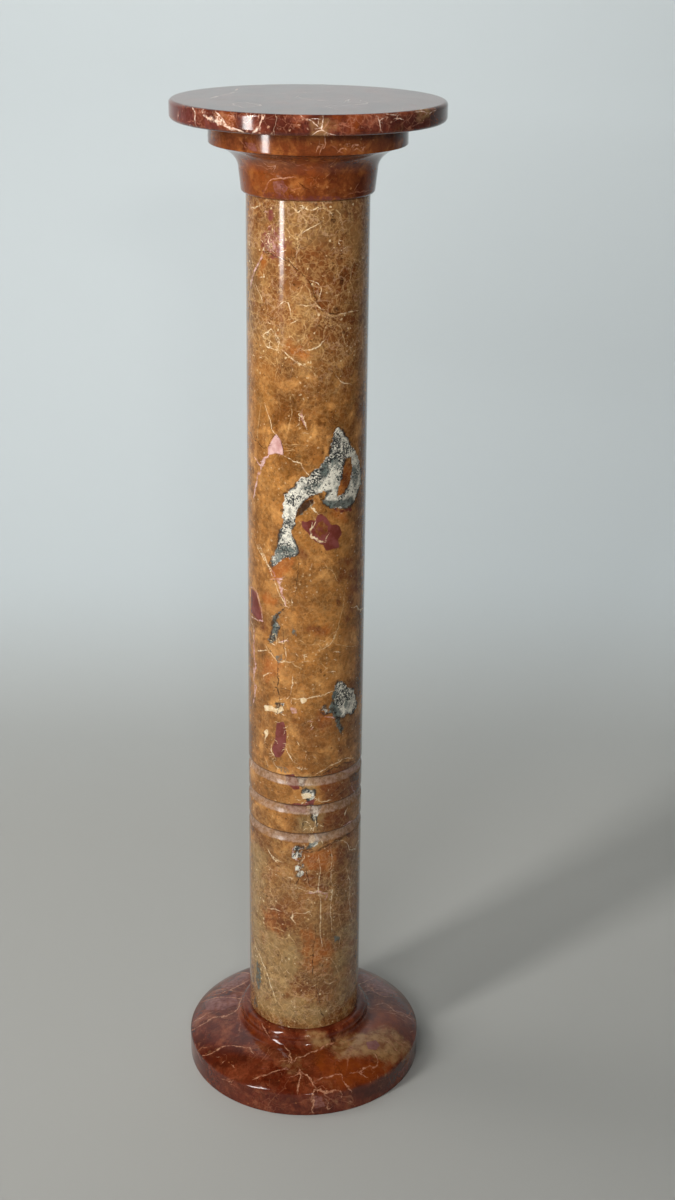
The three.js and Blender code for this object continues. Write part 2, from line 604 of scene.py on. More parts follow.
@dataclass(frozen=True)
class MarbleFinish:
    """A polished marble: its clouded ground, its nets of veins and the minerals of its placed marks."""

    name: str
    deep: Colour
    body: Colour
    light: Colour
    scale: float
    grain: float
    nets: tuple[VeinNet, ...]
    palette: dict[Mineral, tuple[Colour, Colour]]
    gloss: float = 0.09
    haze: float = 0.06
    broken: float = 0.3
    ends: tuple[Colour, Colour] | None = None


class MarblePainter:
    """Writes one marble's material, from its ground up to its finest marks."""

    def __init__(self, finish: MarbleFinish, groups: StoneGroups) -> None:
        """Starts the material.

        Args:
            finish: the marble to show.
            groups: the shared shader groups.
        """
        self.finish = finish
        self.groups = groups
        self.material = bpy.data.materials.new(finish.name)
        self.material.use_nodes = True
        self.graph = Graph(self.material.node_tree)
        self.place = self.graph.node("ShaderNodeTexCoord").outputs["Object"]

    def build(self) -> bpy.types.Material:
        """Lays the ground, the nets and the marks over each other, and polishes them.

        Returns:
            The finished material.
        """
        graph, finish = self.graph, self.finish
        labels = ("Scale", "Grain", "Broken", "Deep", "Body", "Light")
        own = {label: getattr(finish, label.lower()) for label in labels}
        colour = self._group(self.groups.mottle, **own).outputs["Color"]
        if finish.ends is not None:
            patchy = graph.step(self._noise(24.0, 4.0, 0.6), 0.42, 0.56)
            faded = graph.mix(patchy, *finish.ends)
            colour = graph.mix(graph.times(self._end_mask(0.0), 0.6), colour, faded)
        for mineral, amount in TINTS.items():
            colour = self._laid(colour, mineral, amount, 90.0)
        for net in finish.nets:
            colour = graph.mix(graph.times(self._net_mask(net), net.strength), colour, net.colour)
        for mineral in (MAUVE, LILAC):
            colour = self._laid(colour, mineral, 1.0, 70.0)
        opened: object = 0.0
        relief: object = 0.0
        if QUARTZ in finish.palette:
            colour, opened, relief = self._quartz(colour)
        # The inlays include the pale painted sheen on the grooves' lower slopes.
        for mineral, amount in INLAYS.items():
            colour = self._laid(colour, mineral, amount, 300.0)
        if DULL_AND_SHEEN in finish.palette:
            opened = graph.math("MAXIMUM", opened, graph.times(self._mark(DULL_AND_SHEEN), 0.8 * INLAYS[DULL_AND_SHEEN]))
        polish = self._group(self.groups.polish, Gloss=finish.gloss, Haze=finish.haze, Open=opened)
        shader = graph.node("ShaderNodeBsdfPrincipled")
        shader.inputs["IOR"].default_value = 1.46
        graph.feed(shader.inputs["Base Color"], colour)
        graph.feed(shader.inputs["Roughness"], polish.outputs["Roughness"])
        bump = graph.node("ShaderNodeBump")
        bump.inputs["Strength"].default_value = 0.35
        bump.inputs["Distance"].default_value = 0.35 * MM
        graph.feed(bump.inputs["Height"], graph.math("ADD", polish.outputs["Height"], relief))
        graph.feed(shader.inputs["Normal"], bump.outputs["Normal"])
        leave = graph.node("ShaderNodeOutputMaterial")
        graph.feed(leave.inputs["Surface"], shader.outputs["BSDF"])
        return self.material

    def _group(self, tree: Tree, **values: object) -> bpy.types.Node:
        """Places a shader group at the stone's own coordinates.

        Args:
            tree: the group.
            values: what feeds its inputs, by name.

        Returns:
            The node.
        """
        made = self.graph.node("ShaderNodeGroup", node_tree=tree)
        for label, value in {"Vector": self.place, **values}.items():
            self.graph.feed(made.inputs[label], value)
        return made

    def _noise(self, scale: float, detail: float, rough: float) -> Socket:
        """Gives a noise at the stone's own coordinates."""
        return self.graph.noise(self.place, scale, detail, rough).outputs["Fac"]

    def _quartz(self, colour: Socket) -> tuple[Socket, ...]:
        """Lays the quartz, with soot in patches along its rim.

        Args:
            colour: the colour underneath.

        Returns:
            The colour, how far the polish is open, and the relief.
        """
        graph = self.graph
        mask = self._mark(QUARTZ)
        white, dark = self.finish.palette[QUARTZ]
        grey = tuple(0.42 * a + 0.58 * b for a, b in zip(white, dark))
        grains = self._group(self.groups.granular, Scale=400.0, Dirt=0.95, White=white, Grey=grey, Dark=dark)
        colour = graph.mix(mask, colour, grains.outputs["Color"])
        held = graph.node("ShaderNodeAttribute", attribute_name=QUARTZ.value)
        jag = graph.math("SUBTRACT", self._noise(170.0, 3.0, 0.6), 0.5)
        near = graph.math("ABSOLUTE", graph.math("MULTIPLY_ADD", jag, 6.0, held.outputs["Fac"]))
        sooty = graph.step(self._noise(75.0, 3.0, 0.7), 0.42, 0.6)
        rim = graph.times(graph.step(near, 0.5, 2.4, (0.9, 0.0)), sooty)
        return graph.mix(rim, colour, dark), mask, graph.times(mask, grains.outputs["Height"])

    def _net_mask(self, net: VeinNet) -> Socket:
        """Places one layer of veins or specks.

        Args:
            net: the layer's own values.

        Returns:
            Its mask.
        """
        common = {"Scale": net.scale, "Cover": net.cover, "Seed": net.seed}
        if net.style is NET:
            made = self._group(self.groups.net, Width=net.width, Warp=net.warp, **common)
        elif net.style is WANDER:
            made = self._group(self.groups.wander, Width=net.width, **common)
        else:
            made = self._group(self.groups.specks, Size=net.width, **common)
        mask = made.outputs["Mask"]
        return self.graph.times(mask, self._end_mask(net.middle)) if net.middle < 1.0 else mask

    def _end_mask(self, middle: float) -> Socket:
        """Makes a mask that is 1 towards both ends of the shaft.

        Args:
            middle: its value in the middle.

        Returns:
            The mask.
        """
        apart = self.graph.node("ShaderNodeSeparateXYZ")
        self.graph.feed(apart.inputs[0], self.place)
        above = self.graph.step(apart.outputs["Z"], 0.73, 0.83, (middle, 1.0))
        below = self.graph.step(apart.outputs["Z"], 0.2, 0.34, (1.0, middle))
        return self.graph.math("MAXIMUM", above, below)

    def _mark(self, mineral: Mineral) -> Socket:
        """Places the marks of one mineral.

        Args:
            mineral: which marks.

        Returns:
            Their mask.
        """
        edge = EDGES[mineral]
        held = self.graph.node("ShaderNodeAttribute", attribute_name=mineral.value).outputs["Fac"]
        own = {"Field": held, "Ragged": edge.ragged, "Grain": edge.grain, "Soft": edge.soft}
        if mineral in LINED:
            line = self.graph.node("ShaderNodeAttribute", attribute_name=f"{mineral.value}_line")
            own["Line"] = line.outputs["Fac"]
        return self._group(self.groups.placed, **own).outputs["Mask"]

    def _laid(self, colour: Socket, mineral: Mineral, amount: float, scale: float) -> Socket:
        """Lays one mineral's marks, clouded between its two colours, if this marble has it.

        Args:
            colour: the colour underneath.
            mineral: which mineral.
            amount: how much of it shows, from 0 to 1.
            scale: how fine its clouds are, in waves a metre.

        Returns:
            The colour.
        """
        if mineral not in self.finish.palette:
            return colour
        first, second = self.finish.palette[mineral]
        clouds = self.graph.step(self._noise(scale, 4.0, 0.65), 0.38, 0.64)
        mask = self._mark(mineral)
        if amount < 1.0:
            mask = self.graph.times(mask, amount)
        return self.graph.mix(mask, colour, self.graph.mix(clouds, first, second))


@dataclass(frozen=True)
class Mark:
    """A vein or a patch in the marble: an open line with a width in millimetres, or a closed outline."""

    mineral: Mineral
    points: tuple[Point, ...]
    width: float = 1.2
    strength: float = 1.0
    closed: bool = False
    frame: Frame = Frame.PHOTO


MarkMap = dict[str, str]


def flecks(mineral: Mineral, width: float, centres: tuple[Point, ...]) -> list[Mark]:
    """Makes short flecks, each lying another way.

    Args:
        mineral: what they are made of.
        width: their width in millimetres.
        centres: their places in the photograph.

    Returns:
        The flecks.
    """
    made = []
    for i, (column, row) in enumerate(centres):
        reach = 0.7 + 0.35 * (i % 3)
        beside = (column + reach * math.cos(2.4 * i), row + reach * math.sin(2.4 * i))
        made.append(Mark(mineral, ((column, row), beside), width))
    return made


def read_marks(text: str) -> list[Mark]:
    """Reads the marks of one feature, written as points of the photograph.

    Every entry names its mineral and then the ways of its marks: "pale: 1.5 column,row column,row; 1.2
    column,row column,row". A plain entry has veins, and the number before a way is the width of it and of
    the ones after it, in millimetres. An entry with patch has closed outlines, and the number is how strong
    they are. With cut, the outlines are left out of the mineral. With flecks, the points are single flecks.

    Args:
        text: the entries, each on a line of its own that starts with a letter.

    Returns:
        The marks.
    """
    made: list[Mark] = []
    for entry in re.split(r"\n\s+(?=[a-z])", text.strip()):
        head, ways = entry.split(":")
        *kind, word = head.split()
        mineral = Mineral(word)
        amount = 1.0
        for way in ways.split(";"):
            pairs = way.split()
            if "," not in pairs[0]:
                amount = float(pairs.pop(0))
            points = tuple(tuple(map(float, pair.split(","))) for pair in pairs)
            if not kind:
                made.append(Mark(mineral, points, amount))
            elif kind[0] == "flecks":
                made += flecks(mineral, amount, points)
            else:
                made.append(Mark(mineral, points, 0.0, -1.0 if kind[0] == "cut" else amount, True))
    return made


class Outline:
    """The profile of a turned stone, written upwards from the axis as radius and height in millimetres."""

    def __init__(self, height: float) -> None:
        """Starts on the axis at a height."""
        self.points: list[Point] = [(0.0, height)]

    def line(self, radius: float, height: float, step: float) -> Outline:
        """Runs straight to a point.

        Args:
            radius: the point's radius.
            height: its height.
            step: about how far apart the points on the way lie.

        Returns:
            The outline, to write on.
        """
        start = self.points[-1]
        length = math.dist(start, (radius, height))
        count = max(1, round(length / step))
        for i in range(1, count + 1):
            share = i / count
            across = start[0] + (radius - start[0]) * share
            self.points.append((across, start[1] + (height - start[1]) * share))
        return self

    def arc(
        self, centre: Point, reach: float, start: float, end: float, count: int, rise: float = 0.0
    ) -> Outline:
        """Adds an arc.

        Args:
            centre: its centre, radius and height.
            reach: half its width.
            start: its first angle in degrees, 0 pointing outwards and 90 up.
            end: its last angle.
            count: how many steps it has.
            rise: half its height, if that isn't half its width.

        Returns:
            The outline, to write on.
        """
        for i in range(count + 1):
            angle = math.radians(start + (end - start) * i / count)
            point = (centre[0] + reach * math.cos(angle), centre[1] + (rise or reach) * math.sin(angle))
            if math.dist(point, self.points[-1]) > 1e-4:
                self.points.append(point)
        return self


class TurnedMesh:
    """A turned stone's mesh, with each vertex's angle, distance along the profile and radius."""

    def __init__(self, name: str, profile: np.ndarray, angles: np.ndarray) -> None:
        """Turns a profile round the axis.

        Args:
            name: the object's name.
            profile: radius and height in millimetres, from the axis back to the axis.
            angles: the columns' angles in radians, 0 towards the camera's side and growing to its right.
        """
        self.profile = profile
        self.columns = len(angles)
        steps = np.hypot(*np.diff(profile, axis=0).T)
        self.along = np.concatenate(([0.0], np.cumsum(steps)))
        rings = profile[1:-1]
        radius = np.repeat(rings[:, 0], self.columns)
        height = np.repeat(rings[:, 1], self.columns)
        angle = np.tile(angles, len(rings))
        ring_places = np.stack([radius * np.sin(angle), -radius * np.cos(angle), height], 1)
        foot = (0.0, 0.0, profile[0, 1])
        crown = (0.0, 0.0, profile[-1, 1])
        self.places = np.vstack([foot, ring_places, crown])
        self.angle = np.concatenate(([0.0], angle, [0.0]))
        self.radius = np.concatenate(([0.0], radius, [0.0]))
        self.run = np.concatenate(([0.0], np.repeat(self.along[1:-1], self.columns), [self.along[-1]]))
        self.faces = self._faces(len(rings))
        self.fields = {mineral: np.full(len(self.places), FAR) for mineral in Mineral}
        self.lines = {mineral: np.full(len(self.places), BESIDE) for mineral in LINED}
        self.nearest = {mineral: np.full(len(self.places), FAR) for mineral in LINED}
        self.tree = BVHTree.FromPolygons(self.places.tolist(), self.faces)
        self.name = name

    def _faces(self, rings: int) -> list[tuple[int, ...]]:
        """Lists the faces, a fan at each end and squares between.

        Args:
            rings: how many rings the stone has.

        Returns:
            The faces' vertex numbers, all pointing outwards.
        """
        here = np.arange(self.columns)
        there = np.roll(here, -1)
        faces: list[tuple[int, ...]] = [(0, 1 + int(b), 1 + int(a)) for a, b in zip(here, there)]
        low = 1 + self.columns * np.arange(rings - 1)[:, None]
        corners = [low + here, low + there, low + self.columns + there, low + self.columns + here]
        faces += list(map(tuple, np.stack(corners, -1).reshape(-1, 4).tolist()))
        last = 1 + self.columns * (rings - 1)
        crown = 1 + self.columns * rings
        faces += [(last + int(a), last + int(b), crown) for a, b in zip(here, there)]
        return faces

    def chart(self, places: np.ndarray) -> np.ndarray:
        """Finds the angle and the distance along the profile of places on the surface.

        Args:
            places: rows of x, y and z in millimetres.

        Returns:
            Rows of angle in radians and distance in millimetres.
        """
        angle = np.arctan2(places[:, 0], -places[:, 1])
        radius = np.hypot(places[:, 0], places[:, 1])
        starts, steps = self.profile[:-1], np.diff(self.profile, axis=0)
        offsets = np.stack([radius, places[:, 2]], 1)[:, None] - starts[None]
        share = np.clip((offsets * steps).sum(2) / np.maximum((steps**2).sum(1), 1e-9), 0.0, 1.0)
        gap = np.hypot(*np.moveaxis(offsets - share[..., None] * steps, 2, 0))
        nearest = gap.argmin(1)
        rows = np.arange(len(places))
        lengths = np.diff(self.along)
        run = self.along[nearest] + share[rows, nearest] * lengths[nearest]
        return np.stack([angle, run], 1)

    def trace(self, mark: Mark, view: Viewpoint) -> np.ndarray:
        """Lays a mark's points on the surface.

        Args:
            mark: the mark.
            view: the camera that saw it.

        Returns:
            Rows of angle and distance along the profile.
        """
        corners = mark.points + (mark.points[:1] if mark.closed else ())
        dense = [corners[0]]
        spacing = 2.5
        for start, end in zip(corners, corners[1:]):
            count = max(1, round(math.dist(start, end) / spacing))
            dense += [
                (start[0] + (end[0] - start[0]) * i / count, start[1] + (end[1] - start[1]) * i / count)
                for i in range(1, count + 1)
            ]
        if mark.frame is Frame.TOP:
            across, along = np.array(dense).T
            return np.stack([np.arctan2(across, -along), self.along[-1] - np.hypot(across, along)], 1)
        if mark.frame is Frame.SIDE:
            heights = self.profile[:, 1]
            outer = slice(int(np.argmax(self.profile[:, 0] > 0)), None)
            radii = np.interp([p[1] for p in dense], heights[outer], self.profile[outer, 0])
            angle = np.radians([p[0] for p in dense])
            places = np.stack([radii * np.sin(angle), -radii * np.cos(angle), [p[1] for p in dense]], 1)
            laid = self.chart(places)
            laid[:, 0] = angle
            return laid
        hits = []
        for pixel in dense:
            found = self.tree.ray_cast(Vector(view.eye()), Vector(view.sight(pixel)))[0]
            if found is not None:
                hits.append(tuple(found))
        return self.chart(np.array(hits)) if len(hits) > 1 else np.zeros((0, 2))

    def paint(self, mark: Mark, view: Viewpoint) -> None:
        """Writes a mark into its mineral's field, as millimetres inside its edge.

        Args:
            mark: the mark.
            view: the camera that saw it.
        """
        laid = self.trace(mark, view)
        if len(laid) < 2:
            LOG.warning("a mark of %s at %s missed the %s", mark.mineral.value, mark.points[0], self.name)
            return
        rows, across, up = self._beside(laid, mark.frame is Frame.TOP)
        if not len(rows):
            return
        edge_x, edge_y = np.diff(across, axis=1), np.diff(up, axis=1)
        length = np.maximum(edge_x**2 + edge_y**2, 1e-9)
        share = np.clip(-(across[:, :-1] * edge_x + up[:, :-1] * edge_y) / length, 0.0, 1.0)
        gap = np.hypot(across[:, :-1] + share * edge_x, up[:, :-1] + share * edge_y)
        nearest = gap.argmin(1)
        order = np.arange(len(rows))
        distance = gap[order, nearest]
        if mark.closed:
            crosses = (up[:, :-1] > 0) != (up[:, 1:] > 0)
            slope = np.where(np.abs(edge_y) < 1e-9, 1e-9, edge_y)
            meets = across[:, :-1] - up[:, :-1] * edge_x / slope
            inside = ((crosses & (meets > 0)).sum(1) % 2).astype(bool)
            value = np.where(inside, distance, -distance)
        else:
            place = (nearest + share[order, nearest]) / (len(laid) - 1)
            taper = 0.5 + 0.5 * np.sqrt(np.clip(np.sin(math.pi * place), 0.0, 1.0))
            value = mark.width * 0.5 * taper - distance
            if mark.mineral in LINED:
                here = (order, nearest)
                turning = edge_x[here] * up[here] - edge_y[here] * across[here]
                lined = np.where(turning < 0, -distance, distance) / (mark.width * 0.5 * taper)
                known, best = self.lines[mark.mineral], self.nearest[mark.mineral]
                lined = np.clip(lined, -BESIDE, BESIDE)
                known[rows] = np.where(value > best[rows], lined, known[rows])
                best[rows] = np.maximum(best[rows], value)
                value = np.minimum(value, -1.0)
        held = self.fields[mark.mineral]
        if mark.strength < 0.0:
            held[rows] = np.minimum(held[rows], -value)
            return
        cap = -FAR if mark.strength >= 1.0 else (2.0 * mark.strength - 1.0) * EDGES[mark.mineral].soft
        held[rows] = np.maximum(held[rows], np.minimum(value, cap))

    def _beside(self, laid: np.ndarray, flat: bool) -> tuple[np.ndarray, np.ndarray, np.ndarray]:
        """Finds the vertices near a laid mark, and how its points lie from each of them.

        Args:
            laid: the mark's points as angle and distance along the profile.
            flat: whether it lies on the top face, where plain distances are used.

        Returns:
            The vertices' numbers, and for each of them the points' offsets across and up.
        """
        reach = 14.0
        if flat:
            radius = self.along[-1] - laid[:, 1]
            points = np.stack([radius * np.sin(laid[:, 0]), -radius * np.cos(laid[:, 0])], 1)
            on_top = self.run > self.along[-1] - self.radius.max()
            level = self.places[:, :2]
            near = (level > points.min(0) - reach) & (level < points.max(0) + reach)
            rows = np.flatnonzero(near.all(1) & on_top)
            offsets = points[None] - level[rows, None]
            return rows, offsets[..., 0], offsets[..., 1]
        middle = laid[:, 0].mean()
        turn = (self.angle - middle + math.pi) % math.tau - math.pi + middle
        wide = reach / np.maximum(self.radius, 8.0)
        near = (turn > laid[:, 0].min() - wide) & (turn < laid[:, 0].max() + wide)
        near &= (self.run > laid[:, 1].min() - reach) & (self.run < laid[:, 1].max() + reach)
        rows = np.flatnonzero(near)
        across = (laid[:, 0][None] - turn[rows][:, None]) * self.radius[rows][:, None]
        return rows, across, laid[:, 1][None] - self.run[rows][:, None]

    def sink(self, mineral: Mineral, depth: float, grain: float) -> None:
        """Lets a mineral lie a little below the polished face, with a grainy bottom.

        Args:
            mineral: which marks.
            depth: how deep, in millimetres.
            grain: the size of its grains, in millimetres.
        """
        held = self.fields[mineral]
        rows = np.flatnonzero(held > -0.5)
        for row in rows:
            place = self.places[row]
            rough = noise.noise(Vector(place / grain))
            drop = depth * min(1.0, (held[row] + 0.5) / 1.5) * (0.75 + 0.5 * rough)
            out = np.hypot(place[0], place[1])
            self.places[row, :2] *= 1.0 - drop / out

    def build(self) -> bpy.types.Object:
        """Makes the object, with each mineral's field as a mesh attribute.

        Returns:
            The object, in the scene.
        """
        mesh = bpy.data.meshes.new(self.name)
        mesh.from_pydata((self.places * MM).tolist(), [], self.faces)
        mesh.shade_smooth()
        mesh.set_sharp_from_angle(angle=math.radians(38.0))
        named = {mineral.value: values for mineral, values in self.fields.items()}
        named |= {f"{mineral.value}_line": values for mineral, values in self.lines.items()}
        for label, values in named.items():
            held = mesh.attributes.new(label, "FLOAT", "POINT")
            held.data.foreach_set("value", values.astype(np.float32))
        made = bpy.data.objects.new(self.name, mesh)
        bpy.context.scene.collection.objects.link(made)
        return made


def even_columns(radius: float, spacing: float) -> np.ndarray:
    """Gives evenly spaced columns.

    Args:
        radius: the stone's radius in millimetres.
        spacing: about how far apart the columns stand there.

    Returns:
        Their angles in radians.
    """
    count = 4 * math.ceil(math.tau * radius / spacing / 4)
    return np.arange(count) * math.tau / count


def front_columns(radius: float, fine: float, coarse: float, half_front: float) -> np.ndarray:
    """Gives columns that stand closer on the side with the placed marks.

    Args:
        radius: the stone's radius in millimetres.
        fine: the spacing on that side.
        coarse: the spacing behind.
        half_front: how far round the fine side reaches each way, in degrees.

    Returns:
        Their angles in radians.
    """
    half = math.radians(half_front)
    front_count = round(2 * half * radius / fine)
    back_count = round((math.tau - 2 * half) * radius / coarse)
    ahead = np.linspace(-half, half, front_count, endpoint=False)
    behind = np.linspace(half, math.tau - half, back_count, endpoint=False)
    return np.concatenate([ahead, behind])


@dataclass(frozen=True)
class HiddenVeins:
    """The veins and patches on the side that the photograph doesn't show, drawn from a seed."""

    seed: int
    veins: int
    patches: int
    kinds: tuple[Mineral, ...]
    patch_kinds: tuple[Mineral, ...]
    start: float = 88.0
    end: float = 272.0
    top_veins: int = 0

    def grow(self, low: float, high: float, radius: float) -> list[Mark]:
        """Draws the marks.

        Args:
            low: the height of the stone's foot, in millimetres.
            high: the height of its top.
            radius: its greatest radius.

        Returns:
            The marks, in degrees and heights, or across and along the top face.
        """
        chance = random.Random(self.seed)
        made: list[Mark] = []
        for _ in range(self.veins):
            at = (chance.uniform(self.start, self.end), chance.uniform(low, high))
            kind = chance.choice(self.kinds)
            width = chance.uniform(0.8, 1.8)
            made.append(Mark(kind, self._walk(chance, at, low, high, radius), width, frame=Frame.SIDE))
        for _ in range(self.patches):
            at = (chance.uniform(self.start + 8, self.end - 8), chance.uniform(low, high))
            kind = chance.choice(self.patch_kinds)
            size = chance.uniform(5.0, 16.0)
            corners = self._blob(chance, at, size, low, high, radius)
            made.append(Mark(kind, corners, 0.0, chance.uniform(0.75, 1.0), True, Frame.SIDE))
        for _ in range(self.top_veins):
            far = chance.uniform(0.1, 0.85) * radius
            turn = chance.uniform(0.0, math.tau)
            at = (far * math.cos(turn), far * math.sin(turn))
            kind = chance.choice(self.kinds)
            way = self._wander(chance, at, radius)
            made.append(Mark(kind, way, chance.uniform(0.8, 2.2), frame=Frame.TOP))
        return made

    @staticmethod
    def _walk(chance: random.Random, at: Point, low: float, high: float, radius: float) -> tuple[Point, ...]:
        """Walks a crooked way over the side.

        Args:
            chance: the random draws.
            at: where it starts.
            low: the lowest height it may reach.
            high: the greatest height.
            radius: the stone's radius.

        Returns:
            The way's points.
        """
        heading = chance.uniform(0.0, math.tau)
        points = [at]
        for _ in range(chance.randint(3, 9)):
            heading += chance.gauss(0.0, 0.55)
            stride = chance.uniform(3.0, 11.0)
            turn = points[-1][0] + math.degrees(stride * math.cos(heading) / radius)
            height = min(max(points[-1][1] + stride * math.sin(heading), low + 0.2), high - 0.2)
            points.append((turn, height))
        return tuple(points)

    @staticmethod
    def _wander(chance: random.Random, at: Point, radius: float) -> tuple[Point, ...]:
        """Walks a crooked way over the top face, and stops near its edge.

        Args:
            chance: the random draws.
            at: where it starts.
            radius: the stone's radius.

        Returns:
            The way's points.
        """
        heading = chance.uniform(0.0, math.tau)
        points = [at]
        for _ in range(chance.randint(4, 12)):
            heading += chance.gauss(0.0, 0.5)
            stride = chance.uniform(5.0, 16.0)
            place = (points[-1][0] + stride * math.cos(heading), points[-1][1] + stride * math.sin(heading))
            if math.hypot(*place) > radius - 3.0:
                break
            points.append(place)
        return tuple(points) if len(points) > 1 else (at, (at[0] + 3.0, at[1] + 2.0))

    @staticmethod
    def _blob(
        chance: random.Random, at: Point, size: float, low: float, high: float, radius: float
    ) -> tuple[Point, ...]:
        """Draws an uneven outline on the side.

        Args:
            chance: the random draws.
            at: its middle.
            size: about half its width.
            low: the lowest height it may reach.
            high: the greatest height.
            radius: the stone's radius.

        Returns:
            Its corners.
        """
        lean = chance.uniform(0.0, math.pi)
        corners = []
        count = 11
        for i in range(count):
            angle = math.tau * i / count
            reach = size * chance.uniform(0.55, 1.2) * (0.55 + 0.45 * abs(math.cos(angle - lean)))
            turn = at[0] + math.degrees(reach * math.cos(angle) / radius)
            corners.append((turn, min(max(at[1] + reach * math.sin(angle), low + 0.2), high - 0.2)))
        return tuple(corners)


@dataclass
class Stone:
    """One turned stone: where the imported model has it, and how it is made."""

    node: str
    slot: str
    finish: MarbleFinish
    marks: MarkMap
    hidden: HiddenVeins
    spacing: float = 1.5
    low: float = field(init=False)
    high: float = field(init=False)
    radius: float = field(init=False)

    def __post_init__(self) -> None:
        """Reads the stone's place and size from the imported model, in millimetres."""
        lowest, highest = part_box(self.node)
        self.low = lowest[2] / MM
        self.high = highest[2] / MM
        self.radius = highest[0] / MM

    def outline(self) -> Outline:
        """Gives the profile."""
        raise NotImplementedError

    def columns(self) -> np.ndarray:
        """Gives the columns' angles."""
        return even_columns(self.radius, self.spacing)

    def relief(self, mesh: TurnedMesh) -> None:
        """Cuts the stone's small flaws into its mesh; a plain stone has none to cut."""

    def build(self, view: Viewpoint, groups: StoneGroups) -> bpy.types.Object:
        """Makes, paints and finishes the stone and puts it in its node's place.

        Args:
            view: the camera whose pixels place the marks.
            groups: the shared shader groups.

        Returns:
            The finished piece.
        """
        mesh = TurnedMesh(f"{self.node}_stone", np.array(self.outline().points), self.columns())
        shown = [mark for feature in self.marks.values() for mark in read_marks(feature)]
        hidden = self.hidden.grow(self.low, self.high, self.radius)
        for mark in shown + hidden:
            mesh.paint(mark, view)
        self.relief(mesh)
        piece = mesh.build()
        piece.data.materials.append(MarblePainter(self.finish, groups).build())
        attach(piece, "root")
        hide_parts(self.node)
        counts = (len(piece.data.polygons), len(shown), len(hidden))
        LOG.info("%s: %d faces, %d marks that show, %d on hidden sides", piece.name, *counts)
        return piece


@dataclass
class BaseStone(Stone):
    """The round base: upright rim, domed top, hollow fillet and raised collar."""

    arris: float = 0.75
    rim_height: float = 24.5
    rim_rounding: float = 4.0
    dome_height: float = 45.0
    fillet: float = 8.0
    collar_rounding: float = 7.0

    def outline(self) -> Outline:
        """Draws the profile. The dome leaves the fillet level and meets the rounding smoothly.

        Returns:
            The profile.
        """
        collar_turn = self.high - self.collar_rounding
        fillet_centre = self.dome_height + self.fillet
        seat_edge = self.seat_radius()
        collar = seat_edge + self.collar_rounding
        dome_axis = collar + self.fillet
        rim_centre = self.radius - self.rim_rounding
        run = rim_centre - dome_axis
        rise = self.dome_height - self.rim_height
        dome_radius = (run**2 + rise**2 - self.rim_rounding**2) / (2 * (rise - self.rim_rounding))
        dome_centre = self.dome_height - dome_radius
        meeting = math.degrees(math.atan2(self.rim_height - dome_centre, run))
        made = Outline(self.low)
        made.line(self.radius - self.arris, self.low, 12.0)
        corner = (self.radius - self.arris, self.low + self.arris)
        made.arc(corner, self.arris, -90.0, 0.0, 3)
        made.line(self.radius, self.rim_height, 1.4)
        made.arc((rim_centre, self.rim_height), self.rim_rounding, 0.0, meeting, 7)
        made.arc((dome_axis, dome_centre), dome_radius, meeting, 90.0, 38)
        made.arc((dome_axis, fillet_centre), self.fillet, -90.0, -180.0, 14)
        made.line(collar, collar_turn, 1.0)
        made.arc((seat_edge, collar_turn), self.collar_rounding, 0.0, 90.0, 12)
        return made.line(0.0, self.high, 7.0)

    def seat_radius(self) -> float:
        """Gives the radius where the collar turns level, a little outside the shaft's foot."""
        ledge = 2.25
        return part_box("shaft")[1][0] / MM + ledge


